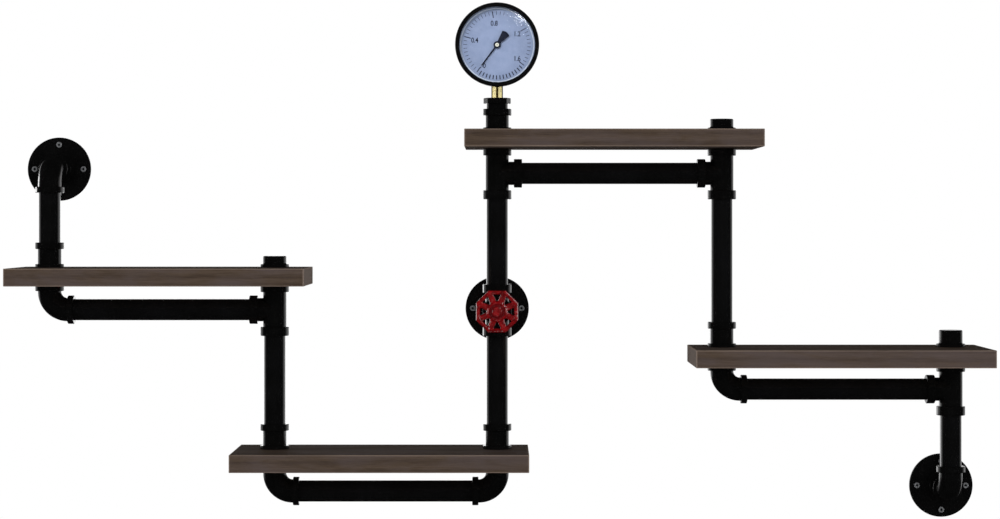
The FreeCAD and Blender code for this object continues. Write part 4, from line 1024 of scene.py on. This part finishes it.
def makeWorld(setup):
    # plain white to the camera, and by direction to what gloss mirrors and to the light that falls
    world = bpy.data.worlds.new("studio")
    bpy.context.scene.world = world
    world.use_nodes = True
    tree = world.node_tree
    tree.nodes.clear()
    path = addNode(tree, "ShaderNodeLightPath")
    way = addNode(tree, "ShaderNodeSeparateXYZ", inputs={
        "Vector": addNode(tree, "ShaderNodeTexCoord").outputs["Generated"]})
    behind = addNode(tree, "ShaderNodeMapRange", {"interpolation_type": "SMOOTHSTEP"}, {
        "Value": way.outputs["Y"], "From Min": setup["brinkDark"], "From Max": setup["brinkWhite"]})
    height = addNode(tree, "ShaderNodeMath", {"operation": "ABSOLUTE"}, {0: way.outputs["Z"]})
    level = addNode(tree, "ShaderNodeMapRange", {"interpolation_type": "SMOOTHSTEP"}, {
        "Value": height.outputs[0], "From Min": setup["bandFull"], "From Max": setup["bandEnd"],
        "To Min": 1.0, "To Max": 0.0})
    white = addNode(tree, "ShaderNodeMath", {"operation": "MULTIPLY"}, {
        0: behind.outputs["Result"], 1: level.outputs["Result"]})
    gloss = addNode(tree, "ShaderNodeMapRange", inputs={
        "Value": white.outputs[0], "To Min": setup["front"], "To Max": setup["behind"]})
    soft = addNode(tree, "ShaderNodeMapRange", inputs={
        "Value": way.outputs["Y"], "From Min": -1.0, "From Max": 1.0,
        "To Min": setup["ambientFront"], "To Max": setup["ambientBack"]})
    surroundings = addNode(tree, "ShaderNodeMix", {"data_type": "FLOAT"}, {
        0: path.outputs["Is Glossy Ray"], 2: soft.outputs["Result"], 3: gloss.outputs["Result"]})
    shown = addNode(tree, "ShaderNodeMath", {"operation": "MAXIMUM"}, {
        0: path.outputs["Is Camera Ray"], 1: path.outputs["Is Transmission Ray"]})
    strength = addNode(tree, "ShaderNodeMix", {"data_type": "FLOAT"}, {
        0: shown.outputs[0], 2: surroundings.outputs[0], 3: 1.0})
    light = addNode(tree, "ShaderNodeBackground", inputs={
        "Color": (1.0, 1.0, 1.0, 1.0), "Strength": strength.outputs[0]})
    addNode(tree, "ShaderNodeOutputWorld", inputs={"Surface": light.outputs[0]})


def linkLight(lamp, pieces, state):
    # INCLUDE lights only these pieces, EXCLUDE lights all but them
    linked = bpy.data.collections.new(lamp.name + "_pieces")
    for piece in pieces:
        linked.objects.link(piece)
    for member in linked.collection_objects:
        member.light_linking.link_state = state
    lamp.light_linking.receiver_collection = linked


def makeLamp(name, place, size, power, aim=studio["aim"], mirrored=False, only=(), roll=0.0):
    data = bpy.data.lights.new(name, "AREA")
    data.shape = "RECTANGLE"
    data.size, data.size_y = size
    data.energy = power
    lamp = bpy.data.objects.new(name, data)
    lamp.location = place
    facing = (Vector(aim) - Vector(place)).to_track_quat("-Z", "Y")
    lamp.rotation_euler = (facing @ Quaternion((0.0, 0.0, 1.0), math.radians(roll))).to_euler()
    lamp.visible_camera = False
    lamp.visible_glossy = mirrored
    bpy.context.scene.collection.objects.link(lamp)
    if only:
        lit = [nodes.get(pieceName) or bpy.data.objects[pieceName] for pieceName in only]
        linkLight(lamp, lit, "INCLUDE")
    return lamp


def makeFloor(setup):
    # a matt pale floor, below the frame's lowest piece
    wide = setup["floorWidth"] / 2
    front, back = setup["floorFront"], setup["floorBack"]
    low = setup["floorHeight"]
    mesh = bpy.data.meshes.new("floor")
    corners = [(-wide, front, low), (wide, front, low), (wide, back, low), (-wide, back, low)]
    mesh.from_pydata(corners, [], [(0, 1, 2, 3)])
    floor = bpy.data.objects.new("floor", mesh)
    bpy.context.scene.collection.objects.link(floor)
    material, tree = startMaterial("pale_studio_floor")
    path = addNode(tree, "ShaderNodeLightPath")
    matt = addNode(tree, "ShaderNodeBsdfDiffuse", inputs={"Color": linearColour(setup["floorColour"])})
    glow = addNode(tree, "ShaderNodeEmission", inputs={"Strength": setup["floorGlow"]})
    both = addNode(tree, "ShaderNodeAddShader", inputs={0: matt.outputs[0], 1: glow.outputs[0]})
    seen = addNode(tree, "ShaderNodeMath", {"operation": "MAXIMUM"}, {
        0: path.outputs["Is Camera Ray"], 1: path.outputs["Is Glossy Ray"]})
    clear = addNode(tree, "ShaderNodeMath", {"operation": "MAXIMUM"}, {
        0: seen.outputs[0], 1: path.outputs["Is Transmission Ray"]})
    mixed = addNode(tree, "ShaderNodeMixShader", inputs={
        0: clear.outputs[0], 1: matt.outputs[0], 2: both.outputs[0]})
    mesh.materials.append(endMaterial(material, mixed))
    floor.visible_glossy = False
    return floor


makeWorld(studio)
studioFloor = makeFloor(studio)
for lampName, lamp in studio["lamps"].items():
    makeLamp(lampName, lamp["place"], lamp["size"], lamp["power"])
for lampName, lamp in studio["rims"].items():
    rim = makeLamp(lampName, lamp["place"], lamp["size"], lamp["power"], mirrored=True)
    linkLight(rim, [studioFloor], "EXCLUDE")
for lampName, lamp in studio["accents"].items():
    makeLamp(lampName, lamp["place"], lamp["size"], lamp["power"], lamp["aim"], lamp["mirrored"],
             lamp["only"], lamp.get("roll", 0.0))
for lampName, lamp in studio["wheelLamps"].items():
    makeLamp(lampName, lamp["place"], studio["wheelLampSize"], lamp["power"], studio["wheelAim"], True,
             studio["wheelLit"])
bpy.context.scene.view_settings.view_transform = "Standard"
print("studio lit")
